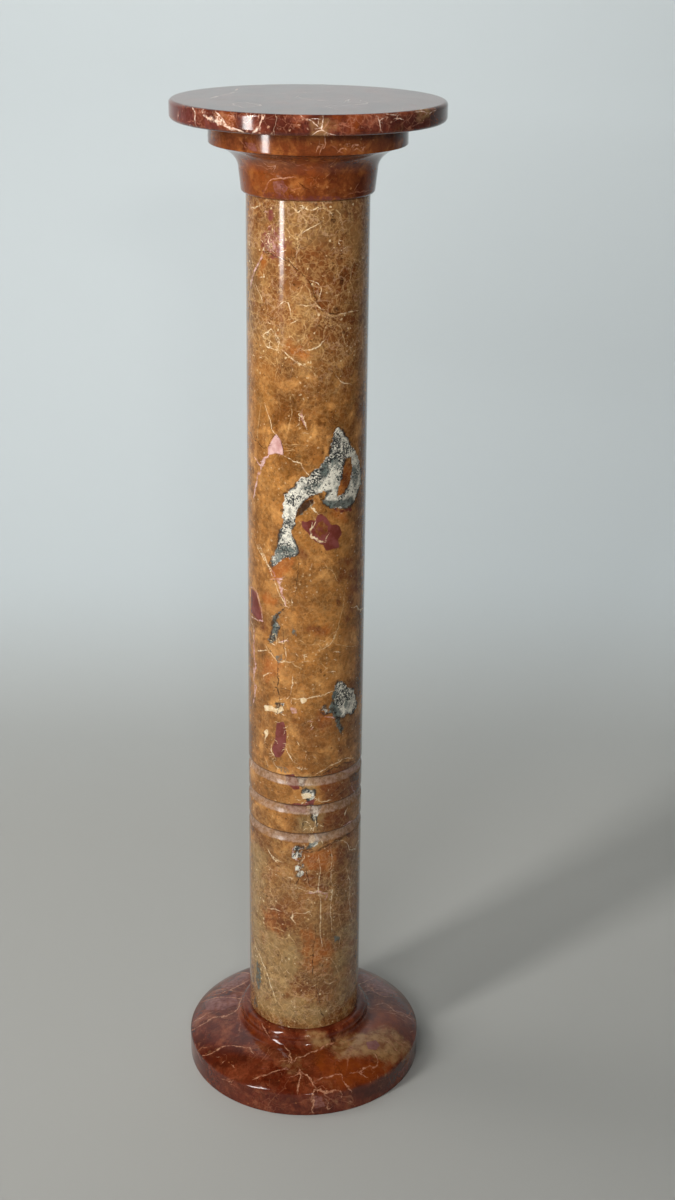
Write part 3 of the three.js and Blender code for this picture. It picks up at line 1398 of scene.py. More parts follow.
@dataclass
class ShaftStone(Stone):
    """The tapered shaft with its hollow grooves."""

    arris: float = 1.0
    top_radius: float = 57.0
    groove_count: int = 3
    groove_first: float = 227.0
    groove_spacing: float = 32.5
    groove_lower: float = 7.5
    groove_upper: float = 3.5
    groove_depth: float = 2.4

    def plain_radius(self, height: float) -> float:
        """Gives the shaft's radius at a height, without its grooves."""
        share = (height - self.low) / (self.high - self.low)
        return self.radius + (self.top_radius - self.radius) * share

    def outline(self) -> Outline:
        """Draws the profile.

        Returns:
            The profile.
        """
        arris = self.arris
        made = Outline(self.low)
        made.line(self.radius - arris, self.low, 15.0)
        made.arc((self.radius - arris, self.low + arris), arris, -90.0, 0.0, 3)
        for i in range(self.groove_count):
            lip = self.low + self.groove_first + i * self.groove_spacing
            self._groove(made, lip)
        made.line(self.top_radius, self.high - arris, 1.9)
        made.arc((self.top_radius - arris, self.high - arris), arris, 0.0, 90.0, 3)
        return made.line(0.0, self.high, 15.0)

    def _groove(self, made: Outline, lip: float) -> None:
        """Adds the wall up to a groove, and the groove with its softened lip.

        Args:
            made: the outline to write on.
            lip: the height of the groove's lower lip.
        """
        made.line(self.plain_radius(lip - 1.0), lip - 1.0, 1.9)
        lower_steps, upper_steps = 10, 6
        for i in range(1, lower_steps + 1):
            share = i / lower_steps
            height = lip + self.groove_lower * share
            soft = self.groove_depth * (1 - (1 - share) ** 2)
            made.points.append((self.plain_radius(height) - soft, height))
        deepest = lip + self.groove_lower
        for i in range(1, upper_steps + 1):
            share = i / upper_steps
            height = deepest + self.groove_upper * share
            made.points.append((self.plain_radius(height) - self.groove_depth * (1 - share**2), height))

    def columns(self) -> np.ndarray:
        """Gives columns that stand closer on the side with the placed marks."""
        return front_columns(self.radius, 1.42, 3.1, 82.0)

    def relief(self, mesh: TurnedMesh) -> None:
        """Sinks the quartz and the open cracks a little, dulls the grooves' lower slopes and gives them a
        pale painted sheen, and paints shade along each groove's upper crease.

        Args:
            mesh: the shaft's mesh.
        """
        mesh.sink(QUARTZ, 0.3, 1.8)
        mesh.sink(DARK, 0.12, 1.2)
        height = mesh.places[:, 2]
        for i in range(self.groove_count):
            lip = self.low + self.groove_first + i * self.groove_spacing
            deepest = lip + self.groove_lower
            edge = deepest + self.groove_upper
            # The lower slopes open the polish and take a pale colour, a painted sheen.
            slope = np.minimum(height - lip - 0.4, deepest + 1.6 - height)
            mesh.fields[DULL_AND_SHEEN] = np.maximum(mesh.fields[DULL_AND_SHEEN], slope)
            # Painted shade: a dark line along each groove's upper edge, where the crease lies in shade.
            painted_crease_shade = np.minimum(1.0 - np.abs(height - edge + 0.6), 0.35)
            mesh.fields[DARK] = np.maximum(mesh.fields[DARK], painted_crease_shade)


@dataclass
class CapitalStone(Stone):
    """The capital: rounded neck that flares a little, a cavetto sweeping out to the plain fascia's edge."""

    neck_rounding: float = 3.0
    neck_height: float = 21.0
    neck_flare: float = 2.0
    cavetto_half_width: float = 40.0
    cavetto_half_height: float = 24.0
    fascia_overhang: float = 27.0
    arris: float = 0.75
    upper_rounding: float = 1.5

    def outline(self) -> Outline:
        """Draws the profile.

        Returns:
            The profile.
        """
        neck_top = self.radius - self.fascia_overhang
        neck = neck_top - self.neck_flare
        wide, tall = self.cavetto_half_width, self.cavetto_half_height
        made = Outline(self.low)
        made.line(neck - self.neck_rounding, self.low, 12.0)
        corner = (neck - self.neck_rounding, self.low + self.neck_rounding)
        made.arc(corner, self.neck_rounding, -90.0, 0.0, 8)
        made.line(neck_top, self.low + self.neck_height, 1.2)
        turn = math.acos(1 - (self.fascia_overhang - self.arris) / wide)
        foot = self.low + self.neck_height
        made.arc((neck_top + wide, foot), wide, 180.0, 180.0 - math.degrees(turn), 30, tall)
        edge = (self.radius - self.arris, foot + tall * math.sin(turn) + self.arris)
        made.arc(edge, self.arris, -90.0, 0.0, 4)
        upper = self.upper_rounding
        made.line(self.radius, self.high - upper, 1.2)
        made.arc((self.radius - upper, self.high - upper), upper, 0.0, 90.0, 5)
        return made.line(0.0, self.high, 9.0)


@dataclass
class SlabStone(Stone):
    """The flat top slab with its softened edges."""

    spacing: float = 1.9
    lower_rounding: float = 4.0
    upper_rounding: float = 3.5

    def outline(self) -> Outline:
        """Draws the profile.

        Returns:
            The profile.
        """
        lower, upper = self.lower_rounding, self.upper_rounding
        made = Outline(self.low)
        made.line(self.radius - lower, self.low, 6.0)
        made.arc((self.radius - lower, self.low + lower), lower, -90.0, 0.0, 8)
        made.line(self.radius, self.high - upper, 1.0)
        made.arc((self.radius - upper, self.high - upper), upper, 0.0, 90.0, 8)
        return made.line(0.0, self.high, self.spacing)


@dataclass(frozen=True)
class Panel:
    """A rectangular light. Lengths are metres, the power is in watts and the spread in degrees."""

    name: str
    place: Place
    target: Place
    width: float
    height: float
    power: float
    colour: Colour
    spread: float = 180.0
    mirrored: bool = True

    def hang(self) -> None:
        """Hangs the light so that it faces its target. The polish shows it only if it is mirrored."""
        data = bpy.data.lights.new(self.name, "AREA")
        data.shape = "RECTANGLE"
        data.size = self.width
        data.size_y = self.height
        data.energy = self.power
        data.color = self.colour
        data.spread = math.radians(self.spread)
        lamp = bpy.data.objects.new(self.name, data)
        lamp.location = self.place
        facing = Vector(self.place) - Vector(self.target)
        lamp.rotation_euler = facing.to_track_quat("Z", "Y").to_euler()
        lamp.visible_camera = False
        lamp.visible_glossy = self.mirrored
        bpy.context.scene.collection.objects.link(lamp)


BRIGHT = (1.0, 0.99, 0.97)
WARM = (1.0, 0.97, 0.92)
SOFT = (1.0, 0.985, 0.96)
LIGHTS = (
    Panel("soft_window", (-0.80, -2.95, 1.85), (0.0, 0.0, 1.4), 1.5, 0.9, 16.5, BRIGHT, 70.0, False),
    Panel("tall_strip", (-1.53, -1.36, 1.62), (0.0, 0.0, 1.62), 0.27, 2.3, 44.0, BRIGHT),
    Panel("small_lamp", (0.28, -2.78, 1.66), (0.0, 0.0, 0.7), 0.26, 0.12, 10.0, WARM),
    Panel("wall_wash", (-1.2, 0.42, 2.9), (-0.8, 1.45, 0.4), 2.2, 0.8, 15.0, SOFT, 120.0, False),
)


@dataclass
class Studio:
    """The plain floor with its sweep behind, and the soft lights. Lengths are metres."""

    half_width: float = 5.0
    front: float = -5.0
    bend_start: float = 0.75
    bend_radius: float = 0.9
    wall_top: float = 3.6

    def build(self) -> None:
        """Makes the floor, the world and the lights."""
        self._sweep()
        self._world()
        for light in LIGHTS:
            light.hang()
        scene = bpy.context.scene
        scene.view_settings.view_transform = "Standard"
        scene.view_settings.look = "None"

    def _sweep(self) -> None:
        """Makes the floor and the wall behind as one smooth sheet."""
        rows = [(self.front, 0.0), (-1.2, 0.0), (0.0, 0.0)]
        bends = 24
        for i in range(bends + 1):
            angle = math.radians(90.0 * i / bends)
            back = self.bend_start + self.bend_radius * math.sin(angle)
            rows.append((back, self.bend_radius * (1 - math.cos(angle))))
        rows.append((self.bend_start + self.bend_radius, self.wall_top))
        places = [(side * self.half_width, back, up) for back, up in rows for side in (-1, 1)]
        faces = [(2 * i, 2 * i + 1, 2 * i + 3, 2 * i + 2) for i in range(len(rows) - 1)]
        mesh = bpy.data.meshes.new("studio_sweep")
        mesh.from_pydata(places, [], faces)
        mesh.shade_smooth()
        sweep = bpy.data.objects.new("studio_sweep", mesh)
        bpy.context.scene.collection.objects.link(sweep)
        sweep.data.materials.append(self._paper())

    def _paper(self) -> bpy.types.Material:
        """Makes the sheet's matt paint, warm grey on the floor and cooler up the wall.

        Returns:
            The material. From behind the wall is see-through, so that the column shows from there too.
        """
        material = bpy.data.materials.new("studio_paper")
        material.use_nodes = True
        graph = Graph(material.node_tree)
        place = graph.node("ShaderNodeTexCoord").outputs["Object"]
        apart = graph.node("ShaderNodeSeparateXYZ")
        graph.feed(apart.inputs[0], place)
        rise = graph.math("ADD", apart.outputs["Z"], graph.times(apart.outputs["Y"], 0.25))
        colour = graph.mix(graph.step(rise, 0.1, 0.42), srgb(68.5, 68.5, 67), srgb(77, 80, 81))
        paint = graph.node("ShaderNodeBsdfDiffuse")
        graph.feed(paint.inputs["Color"], colour)
        clear = graph.node("ShaderNodeBsdfTransparent")
        side = graph.node("ShaderNodeNewGeometry").outputs["Backfacing"]
        pick = graph.node("ShaderNodeMixShader")
        graph.feed(pick.inputs[0], side)
        graph.feed(pick.inputs[1], paint.outputs[0])
        graph.feed(pick.inputs[2], clear.outputs[0])
        leave = graph.node("ShaderNodeOutputMaterial")
        graph.feed(leave.inputs["Surface"], pick.outputs[0])
        return material

    @staticmethod
    def _world() -> None:
        """Makes the room's own light: pale near the horizon and dark overhead."""
        world = bpy.data.worlds.new("studio_world")
        world.use_nodes = True
        bpy.context.scene.world = world
        graph = Graph(world.node_tree)
        apart = graph.node("ShaderNodeSeparateXYZ")
        graph.feed(apart.inputs[0], graph.node("ShaderNodeTexCoord").outputs["Generated"])
        rise = graph.step(apart.outputs["Z"], 0.02, 0.62)
        colour = graph.mix(rise, srgb(46, 47, 48), srgb(12, 12.5, 13))
        glow = graph.node("ShaderNodeBackground")
        graph.feed(glow.inputs["Color"], colour)
        glow.inputs["Strength"].default_value = 0.7
        leave = graph.node("ShaderNodeOutputWorld")
        graph.feed(leave.inputs["Surface"], glow.outputs[0])


OCHRE_MARBLE = MarbleFinish(
    name="ochre_marble",
    deep=srgb(43, 25.5, 10),
    body=srgb(56, 36.5, 16.5),
    light=srgb(65, 46, 25),
    scale=10.0,
    grain=1.7,
    nets=(
        VeinNet(NET, 52.0, 0.03, 0.52, srgb(78, 63, 42), 0.42, 0.034, 1.0, middle=0.25),
        VeinNet(NET, 170.0, 0.12, 0.6, srgb(76, 60, 38), 0.32, 0.011, 2.0, middle=0.5),
        VeinNet(NET, 128.0, 0.09, 0.5, srgb(28, 15, 7), 0.45, 0.014, 7.0, middle=0.5),
        VeinNet(NET, 78.0, 0.05, 0.55, srgb(75, 61, 47), 0.4, 0.028, 8.0, middle=0.1),
        VeinNet(WANDER, 34.0, 0.004, 0.45, srgb(27, 15, 8), 0.55, seed=9.0, middle=0.3),
        VeinNet(WANDER, 26.0, 0.005, 0.5, srgb(82, 69, 49), 0.42, seed=3.0, middle=0.4),
        VeinNet(WANDER, 15.0, 0.003, 0.42, srgb(30, 17, 8), 0.55, seed=4.0),
        VeinNet(SPECKS, 300.0, 0.3, 0.14, srgb(88, 79, 62), 0.62, seed=5.0, middle=0.5),
        VeinNet(SPECKS, 260.0, 0.28, 0.14, srgb(26, 15, 8), 0.65, seed=6.0),
    ),
    palette={
        PALE: (srgb(88, 81, 68), srgb(80, 67, 49)),
        HAIR: (srgb(82, 70, 51), srgb(75, 60, 40)),
        QUARTZ: (srgb(84, 82, 76), srgb(12, 13, 13)),
        MAUVE: (srgb(38, 16, 12), srgb(46, 24, 22)),
        LILAC: (srgb(80, 66, 64), srgb(68, 50, 48)),
        DARK: (srgb(17, 10, 6), srgb(27, 16, 9)),
        GREEN: (srgb(6, 8, 8), srgb(36, 40, 38)),
        RUST: (srgb(64, 33, 10), srgb(58, 31, 12)),
        BROWN: (srgb(34, 16, 6), srgb(44, 23, 10)),
        BEIGE: (srgb(60, 50, 34), srgb(52, 41, 25)),
        # The pale colours of the grooves' lower slopes are a painted sheen.
        DULL_AND_SHEEN: (srgb(66, 56, 49), srgb(50, 38, 29)),
    },
    broken=0.32,
    ends=(srgb(42.5, 24.5, 14), srgb(46, 33.5, 21)),
)

RED_PALETTE = {
    PALE: (srgb(73, 54, 42), srgb(62, 41, 30)),
    HAIR: (srgb(66, 43, 31), srgb(58, 35, 24)),
    MAUVE: (srgb(40, 21, 19), srgb(34, 16, 14)),
    LILAC: (srgb(52, 34, 31), srgb(44, 26, 24)),
    DARK: (srgb(16, 5, 2), srgb(23, 8, 3)),
    RUST: (srgb(52, 24, 6), srgb(44, 18, 5)),
    BROWN: (srgb(24, 8, 3), srgb(30, 11, 5)),
    BEIGE: (srgb(66, 52, 34), srgb(48, 31, 17)),
}
SLAB_PALETTE = RED_PALETTE | {
    PALE: (srgb(90, 81, 74), srgb(80, 63, 53)),
    HAIR: (srgb(70, 48, 38), srgb(62, 38, 29)),
}

BASE_MARBLE = MarbleFinish(
    name="base_red_marble",
    deep=srgb(32, 10.5, 4),
    body=srgb(38, 16, 8),
    light=srgb(45, 23.5, 14),
    scale=12.0,
    grain=1.3,
    nets=(
        VeinNet(NET, 40.0, 0.022, 0.42, srgb(62, 39, 28), 0.35, 0.034, 11.0),
        VeinNet(NET, 150.0, 0.08, 0.4, srgb(58, 35, 22), 0.35, 0.012, 12.0),
        VeinNet(NET, 120.0, 0.08, 0.45, srgb(20, 7, 3), 0.45, 0.014, 15.0),
        VeinNet(WANDER, 13.0, 0.003, 0.42, srgb(66, 42, 29), 0.35, seed=13.0),
        VeinNet(SPECKS, 280.0, 0.28, 0.12, srgb(60, 35, 20), 0.55, seed=14.0),
    ),
    palette=RED_PALETTE,
    broken=0.3,
)

SLAB_MARBLE = MarbleFinish(
    name="slab_red_marble",
    deep=srgb(29, 12, 8.5),
    body=srgb(37, 16, 11),
    light=srgb(47, 25, 17),
    scale=12.0,
    grain=1.1,
    nets=(
        VeinNet(NET, 40.0, 0.025, 0.45, srgb(72, 52, 41), 0.35, 0.034, 21.0),
        VeinNet(NET, 150.0, 0.1, 0.5, srgb(66, 44, 33), 0.4, 0.012, 22.0),
        VeinNet(NET, 120.0, 0.08, 0.45, srgb(20, 8, 6), 0.45, 0.014, 25.0),
        VeinNet(WANDER, 11.0, 0.004, 0.45, srgb(82, 68, 57), 0.45, seed=23.0),
        VeinNet(SPECKS, 280.0, 0.28, 0.14, srgb(74, 56, 45), 0.55, seed=24.0),
    ),
    palette=SLAB_PALETTE,
    gloss=0.08,
    haze=0.05,
    broken=0.25,
)

CAPITAL_MARBLE = MarbleFinish(
    name="capital_brown_marble",
    deep=srgb(38, 17.5, 7),
    body=srgb(46, 24, 10.5),
    light=srgb(54, 32, 15),
    scale=14.0,
    grain=0.9,
    nets=(
        VeinNet(NET, 60.0, 0.03, 0.4, srgb(66, 44, 26), 0.3, 0.034, 31.0),
        VeinNet(NET, 150.0, 0.08, 0.45, srgb(27, 11, 4), 0.4, 0.012, 35.0),
        VeinNet(WANDER, 18.0, 0.003, 0.42, srgb(70, 50, 32), 0.35, seed=33.0),
        VeinNet(SPECKS, 280.0, 0.28, 0.11, srgb(66, 44, 26), 0.55, seed=34.0),
    ),
    palette=RED_PALETTE,
    broken=0.16,
)


SHAFT_MARKS: MarkMap = {
    "quartz cloud": """
    patch quartz: 337,428 342,430 346,436 351,444 355,452 359,460 361,470 361,484 357,492 355,500 350,507
      340,508 328,507 324,502 326,496 331,491 322,492 314,496 306,500 300,506 296,514 294,521 292,528
      293,538 297,546 298,553 292,557 284,559 277,562 273,567 270,565 272,559 276,551 277,545 280,534
      283,521 283,508 285,495 288,490 295,488 298,480 304,477 311,474 317,469 324,462 329,456 331,446
      333,436
    cut quartz: 345,458 351,457 352,470 350,484 345,493 337,497 341,480
    patch rust: 345,459 351,458 351,470 349,484 344,492 338,497 341,480
    patch brown: 347,462 350,462 349,480 345,488 344,478
    patch green: 322,464 328,462 330,472 326,478 320,477; 322,499 332,501 344,500 353,496 354,503 344,507
      328,508; 0.6 333,458 338,460 340,468 335,470 331,465; 0.5 304,487 314,484 322,483 318,489 306,492;
      0.7 352,466 357,468 358,480 354,488 352,478; 0.4 334,478 340,474 338,490 333,488; 0.8 299,512 304,505
      310,500 314,500 312,505 306,510 300,516; 0.62 277,549 285,545 294,546 298,551 292,557 282,559 273,566
      270,563 273,556
    patch dark: 296,512 300,505 306,501 312,499 314,502 308,508 301,514 296,518; 0.7 318,494 323,493 325,500
      320,501
    dark: 1.6 296,518 299,513 305,508 309,511""",
    "groove crossing": """
    patch brown: 320,813 334,811 347,809 348,818 346,828 330,831 320,831; 320,780 336,776 352,774 360,768
      360,792 346,800 324,803; 319,814 330,812 344,808 347,822 336,830 320,830; 322,818 336,816 342,824
      330,829 321,828; 0.8 329,786 345,783 357,780 358,790 345,797 330,799
    patch quartz: 302,792 308,788 315,791 315,798 307,800; 311,804 316,806 318,814 314,821 310,812; 308,838
      315,834 320,839 316,847 310,846; 297,777 306,778 303,786 299,783; 313,806 320,806 318,814 313,815
    patch pale: 0.8 306,806 310,805 310,809 307,809; 1 301,794 307,793 312,794 311,798 303,799
    flecks pale: 1.6 298,800 303,803 318,800 307,822 311,826 304,830 318,824 322,842 303,845; 1.5 300,780
      287,782 302,797 306,802 314,797 319,812; 1.3 306,822 311,828 308,817 315,820 322,826
    patch mauve: 285,775 294,774 298,780 300,789 294,790 286,783; 305,802 311,798 315,799 313,807 306,808;
      0.85 283,805 296,803 306,804 314,808 306,813 292,812
    patch beige: 302,777 318,778 316,800 303,800; 301,815 317,815 318,832 302,832
    patch dark: 0.6 349,776 358,770 358,780 350,783
    patch lilac: 0.7 340,772 352,768 360,762 360,767 348,773
    rust: 5.0 322,785 332,784 340,788
    dark: 1.0 334,800 340,794 348,788 356,784; 330,796 336,790 344,782; 1.1 300,814 302,822 302,832;
      1.2 317,816 317,824 319,832; 0.9 305,818 304,826
    pale: 1.5 316,798 322,802 330,800; 1.6 347,809 345,815; 1.4 314,816 316,822 313,831
    green: 2.4 316,818 317,826""",
    "mottles near the top, left": """
    patch mauve: 0.42 261,236 268,228 278,226 285,236 287,250 280,263 270,259 261,250; 0.55 268,208 274,206
      275,216 270,222 266,216; 0.5 272,222 277,226 277,240 271,238 269,230; 288,238 293,240 292,246 287,244
    patch lilac: 0.2 264,240 270,232 280,236 283,250 276,258 266,250
    patch brown: 0.6 338,276 346,268 356,276 358,296 350,310 338,314 334,296; 1 262,243 268,240 272,246
      276,254 270,256 263,250; 310,253 314,254 313,257 308,257
    flecks pale: 1.5 264,240 268,234 272,230 276,238 280,244 284,251 270,246 274,252 278,257 266,251
    patch dark: 0.6 331,217 336,219 335,224 331,222
    pale: 1.2 262,241 266,246 263,250 268,252; 1.0 270,236 268,242 272,247; 256,285 259,292 262,300;
      1.4 261,277 265,278 264,274
    flecks lilac: 1.6 266,212 270,226 274,232 267,236 272,243
    lilac: 2.6 262,255 257,266 253,276 251,286
    dark: 1.2 264,251 260,252 268,251 274,256 280,258; 1.0 264,256 258,266 254,278 251,290
    patch rust: 266,257 263,268 258,276 259,266 263,258""",
    "mauve patch and its arc": """
    patch mauve: 301,520 306,522 311,520 315,521 318,514 322,514 327,518 331,525 337,524 340,527 342,534
      338,540 340,548 333,549 326,551 323,545 316,542 311,537 307,532 302,527
    cut mauve: 318,523 323,520 328,526 327,534 322,539 316,535 315,528
    patch brown: 318,523 323,520 328,526 327,534 322,539 316,535 315,528
    patch mauve: 0.4 318,523 323,520 328,526 327,534 322,539 316,535 315,528; 0.8 335,507 343,509 351,507
      353,511 342,513 334,511
    pale: 2.2 312,526 311,530 313,536 317,540 321,542 325,542; 1.0 313,527 316,521 315,519; 325,541 328,535;
      2.0 310,502 313,508 317,513
    rust: 5.0 309,500 313,505 318,510""",
    "pink triangle and its tail": """
    patch lilac: 276,434 280,439 283,447 283,455 276,453 268,455 268,448 272,440
    lilac: 3.0 268,456 264,461 261,470 258,479 255,489 254,497; 1.6 255,458 259,464 262,466; 2.2 302,412
      300,418 304,425
    dark: 0.8 270,441 275,434 279,438 283,447 284,455
    pale: 1.6 299,415 303,420 306,427; 1.0 265,405 270,420 272,430 276,434; 1.1 284,456 293,461 301,464
      305,471 310,478
    flecks pale: 1.3 300,412 304,416 300,421 306,423 306,433 298,425
    hair: 1.3 283,444 290,445 297,445; 1.0 284,451 295,450; 261,405 258,425 257,440;
      290,395 292,415 288,432""",
    "tangle under the capital": """
    pale: 1.5 293,208 298,212 304,208 312,210 318,207; 1.0 304,232 312,228 321,222; 1.3 252,208 258,207
      262,204 258,200
    hair: 1.5 300,215 308,222 304,228 298,236 297,246 300,256; 1.4 286,228 292,236 297,240 299,250 300,262;
      1.3 326,212 334,210 341,214 338,222; 1.2 310,213 318,218 322,226 318,234; 322,200 324,208 330,212
    flecks pale: 1.3 302,206 307,207 320,209 331,213 340,241 345,248 297,252 291,262""",
    "long crack to the right": """
    dark: 1.0 283,259 290,262 295,268 302,274 308,280; 1.4 309,281 314,294 318,304 324,311 332,314 337,313
    patch brown: 308,282 316,284 324,292 332,300 337,312 328,312 318,308 311,296; 341,268 346,276 345,288
      339,292 338,278
    patch dark: 0.6 341,276 344,280 342,289 339,284; 0.5 336,304 339,310 336,316 333,309
    pale: 1.0 312,281 318,284 322,289 320,295; 0.9 340,314 348,312 357,310
    hair: 1.4 325,312 330,316 342,315 350,312 358,310""",
    # The tall brown patch along the shaft's right side in this feature is painted shade, where the side
    # turns away from the lamps.
    "rings and squiggles of the upper third": """
    pale: 1.2 280,305 284,301 288,303 290,310 291,316; 262,336 266,333 271,329 269,324 274,334 277,342;
      1.1 300,305 308,306 316,306 322,309; 337,377 340,381 345,384 351,384; 1.0 290,324 296,321; 275,333
      279,340 278,347; 1.3 303,350 311,350 318,347 324,341; 283,351 289,356 296,362 304,366; 264,341 267,347
      272,349 277,350
    hair: 1.4 288,320 295,318 303,322 306,330 303,338 296,342 289,336 287,328; 266,333 268,340 274,345
      279,350; 1.1 304,282 309,290 312,300 318,306; 305,331 308,340 303,347; 262,356 270,360 279,372;
      335,296 343,292 350,288 348,296; 344,266 352,262 350,280 354,292; 345,344 352,352 356,350 360,348;
      1.2 293,298 300,292 303,284; 324,341 324,333 326,327 335,324; 304,366 311,369 316,375; 253,318 252,330
      256,342; 1.0 276,352 278,366 275,380; 335,322 341,328 346,344 352,350
    patch rust: 283,340 292,341 300,346 302,353 292,354 283,350
    flecks pale: 1.4 264,337 268,332 270,344 276,349 254,356 260,358; 1.2 349,292 351,347 355,352 339,243
    patch brown: 0.55 346,262 356,258 357,330 350,400 342,400 344,330
    patch dark: 0.6 343,330 346,332 344,335 341,333""",
    "long pink vein and the orange spots": """
    patch rust: 274,559 284,558 296,556 295,566 286,576 277,580 273,570; 262,596 270,594 278,600 272,610
      264,612; 0.8 265,656 274,662 275,672 268,684 262,674; 0.6 330,500 345,508 345,520 330,516
    patch brown: 0.5 340,560 356,556 357,610 345,622 338,600
    pale: 1.5 257,546 262,555 268,566 272,576; 1.1 272,574 277,588 282,600 287,606; 260,546 266,560 272,572
    lilac: 2.2 271,570 276,577 280,586 283,597 286,605; 1.8 272,579 279,579 283,577
    dark: 0.9 270,556 270,566 273,572; 0.8 299,562 297,580 295,598
    hair: 1.1 324,562 328,568 333,572 337,580
    brown: 4.0 300,553 306,556 303,562
    flecks pale: 1.5 285,606 289,608 292,603 287,600 285,589 293,592 311,566""",
    "mauve lens at the left edge": """
    patch mauve: 251,588 256,592 258,600 261,612 262,622 256,618 251,612
    lilac: 1.6 251,587 256,589 259,600 262,612 263,621 258,621 251,616; 3.0 254,628 254,646 255,662 254,680
      255,694; 2.0 256,686 255,696 253,704
    patch brown: 262,620 267,624 267,631 262,627
    pale: 1.4 251,620 254,630 253,642""",
    "black speckled vein": """
    patch green: 282,610 276,613 272,620 272,630 268,640 271,644 276,640 278,630 276,622 279,616;
      0.6 276,656 282,655 282,662 278,663; 0.65 293,627 296,630 296,636 292,634
    patch quartz: 276,622 279,627 277,634 273,632 274,626
    dark: 2.0 284,608 276,615 272,624 272,634 269,642; 1.4 268,648 274,656 278,662 278,674 278,688 280,700
      277,716; 0.8 283,632 284,650 286,664; 0.9 275,687 286,689 291,691
    pale: 1.3 271,643 275,645 277,640 276,635; 264,680 264,676 267,674 271,673; 1.1 255,651 262,651 268,650
      266,646; 285,648 286,655 285,660; 1.2 268,651 273,656 278,662 285,662 292,662; 1.6 279,642 284,644
      287,640; 1.0 293,676 293,684 291,693
    flecks pale: 1.4 278,626 274,634 285,643 279,640 272,641 269,652
    lilac: 1.8 281,642 286,641
    hair: 1.2 290,661 296,666 302,668 299,674
    rust: 3.5 303,631 314,630 326,631
    brown: 2.0 304,630 314,629 324,631""",
    "pale branching veins at the right": """
    hair: 1.3 344,594 343,608 340,618 338,630 334,640 328,646 318,650; 333,642 340,646 350,647 356,646;
      1.1 318,640 325,641 332,634 338,630; 322,664 327,668 322,673; 300,640 308,645 318,644 322,650
    pale: 0.9 338,628 334,638 330,645 320,650; 1.0 335,652 340,652; 1.2 329,672 334,672
    flecks pale: 1.6 335,660 306,654 304,658 297,655 308,662 326,645""",
    "small quartz at the right": """
    patch quartz: 337,681 343,682 347,687 353,689 356,698 357,707 352,714 346,712 343,718 337,716 334,708
      333,698 335,690; 0.7 319,710 324,706 331,706 330,712 324,715
    patch green: 334,690 338,693 334,700 338,708 342,712 340,722 344,728 341,734 337,726 334,716 329,711
      331,702; 0.6 346,700 350,704 348,710 344,706
    dark: 1.2 341,728 341,740
    patch rust: 318,713 330,714 336,718 334,726 324,728 318,720
    patch brown: 0.7 318,716 326,718 330,726 322,728 317,722
    lilac: 1.8 327,717 334,718""",
    "white spots and mauve pendant": """
    patch pale: 300,700 303,697 307,699 306,702 302,704; 264,705 272,706 276,709 282,706 284,710 278,714
      272,711 265,711; 264,731 267,729 269,733 266,738
    pale: 1.2 293,699 300,699 309,699; 266,736 264,742; 272,744 271,750 275,758; 2.0 309,698 318,695
      326,694; 1.1 326,694 332,691; 1.3 286,748 288,754 292,761
    patch quartz: 0.8 276,703 284,704 282,712 275,712
    patch lilac: 0.6 290,707 296,708 297,713 292,714
    flecks pale: 1.7 281,699 288,698 291,703 275,713 284,715 309,721 311,725; 1.4 277,722 286,727 284,733
      276,741 286,744 283,750 288,736 298,744
    flecks lilac: 1.8 310,722 312,728
    patch mauve: 277,722 284,722 287,733 286,744 284,752 280,758 275,757 272,748 275,740 276,730
    hair: 1.4 289,744 290,753 295,758""",
    "above the first groove": """
    pale: 1.5 317,774 326,769 334,764 341,761; 1.0 341,760 347,758 353,758; 266,760 268,766; 297,768 302,770
      306,769; 1.2 272,758 274,764 278,768 277,772; 1.8 251,758 252,764 250,768; 1.6 361,756 358,762 354,768
    dark: 1.6 322,775 334,768 346,763 356,760
    patch brown: 322,776 334,768 348,762 357,760 356,768 340,774
    patch green: 0.5 276,766 286,768 292,774 282,772
    brown: 2.6 338,736 341,748 339,758
    flecks pale: 1.5 299,767 304,769 306,758 314,757 296,763 270,757""",
    "third groove and the flow below it": """
    patch pale: 309,838 313,834 316,839 312,844 308,842
    patch green: 0.8 315,838 324,831 328,834 320,838 314,846 306,850 308,845
    patch beige: 322,834 334,834 332,840 318,846 312,850 316,842
    dark: 2.4 355,829 348,834 338,840 326,845 318,850 308,853; 1.2 312,848 304,850 298,856 300,866 296,876;
      1.0 301,856 302,866 299,878 295,886; 1.1 306,868 308,878 310,886; 0.9 291,878 290,886
    patch brown: 357,828 350,836 338,842 326,848 334,838 348,830
    patch rust: 306,856 316,850 330,846 340,846 338,862 326,872 314,870 304,864
    patch quartz: 0.75 292,850 297,846 303,848 301,856 296,860 292,857; 297,862 303,864 304,872 299,878
      295,872
    lilac: 2.4 303,847 294,849 292,856 297,860; 2.2 344,826 350,822 356,820
    pale: 1.3 296,866 302,862 304,856
    flecks pale: 1.5 298,864 301,870 297,876 306,871 291,878 303,858""",
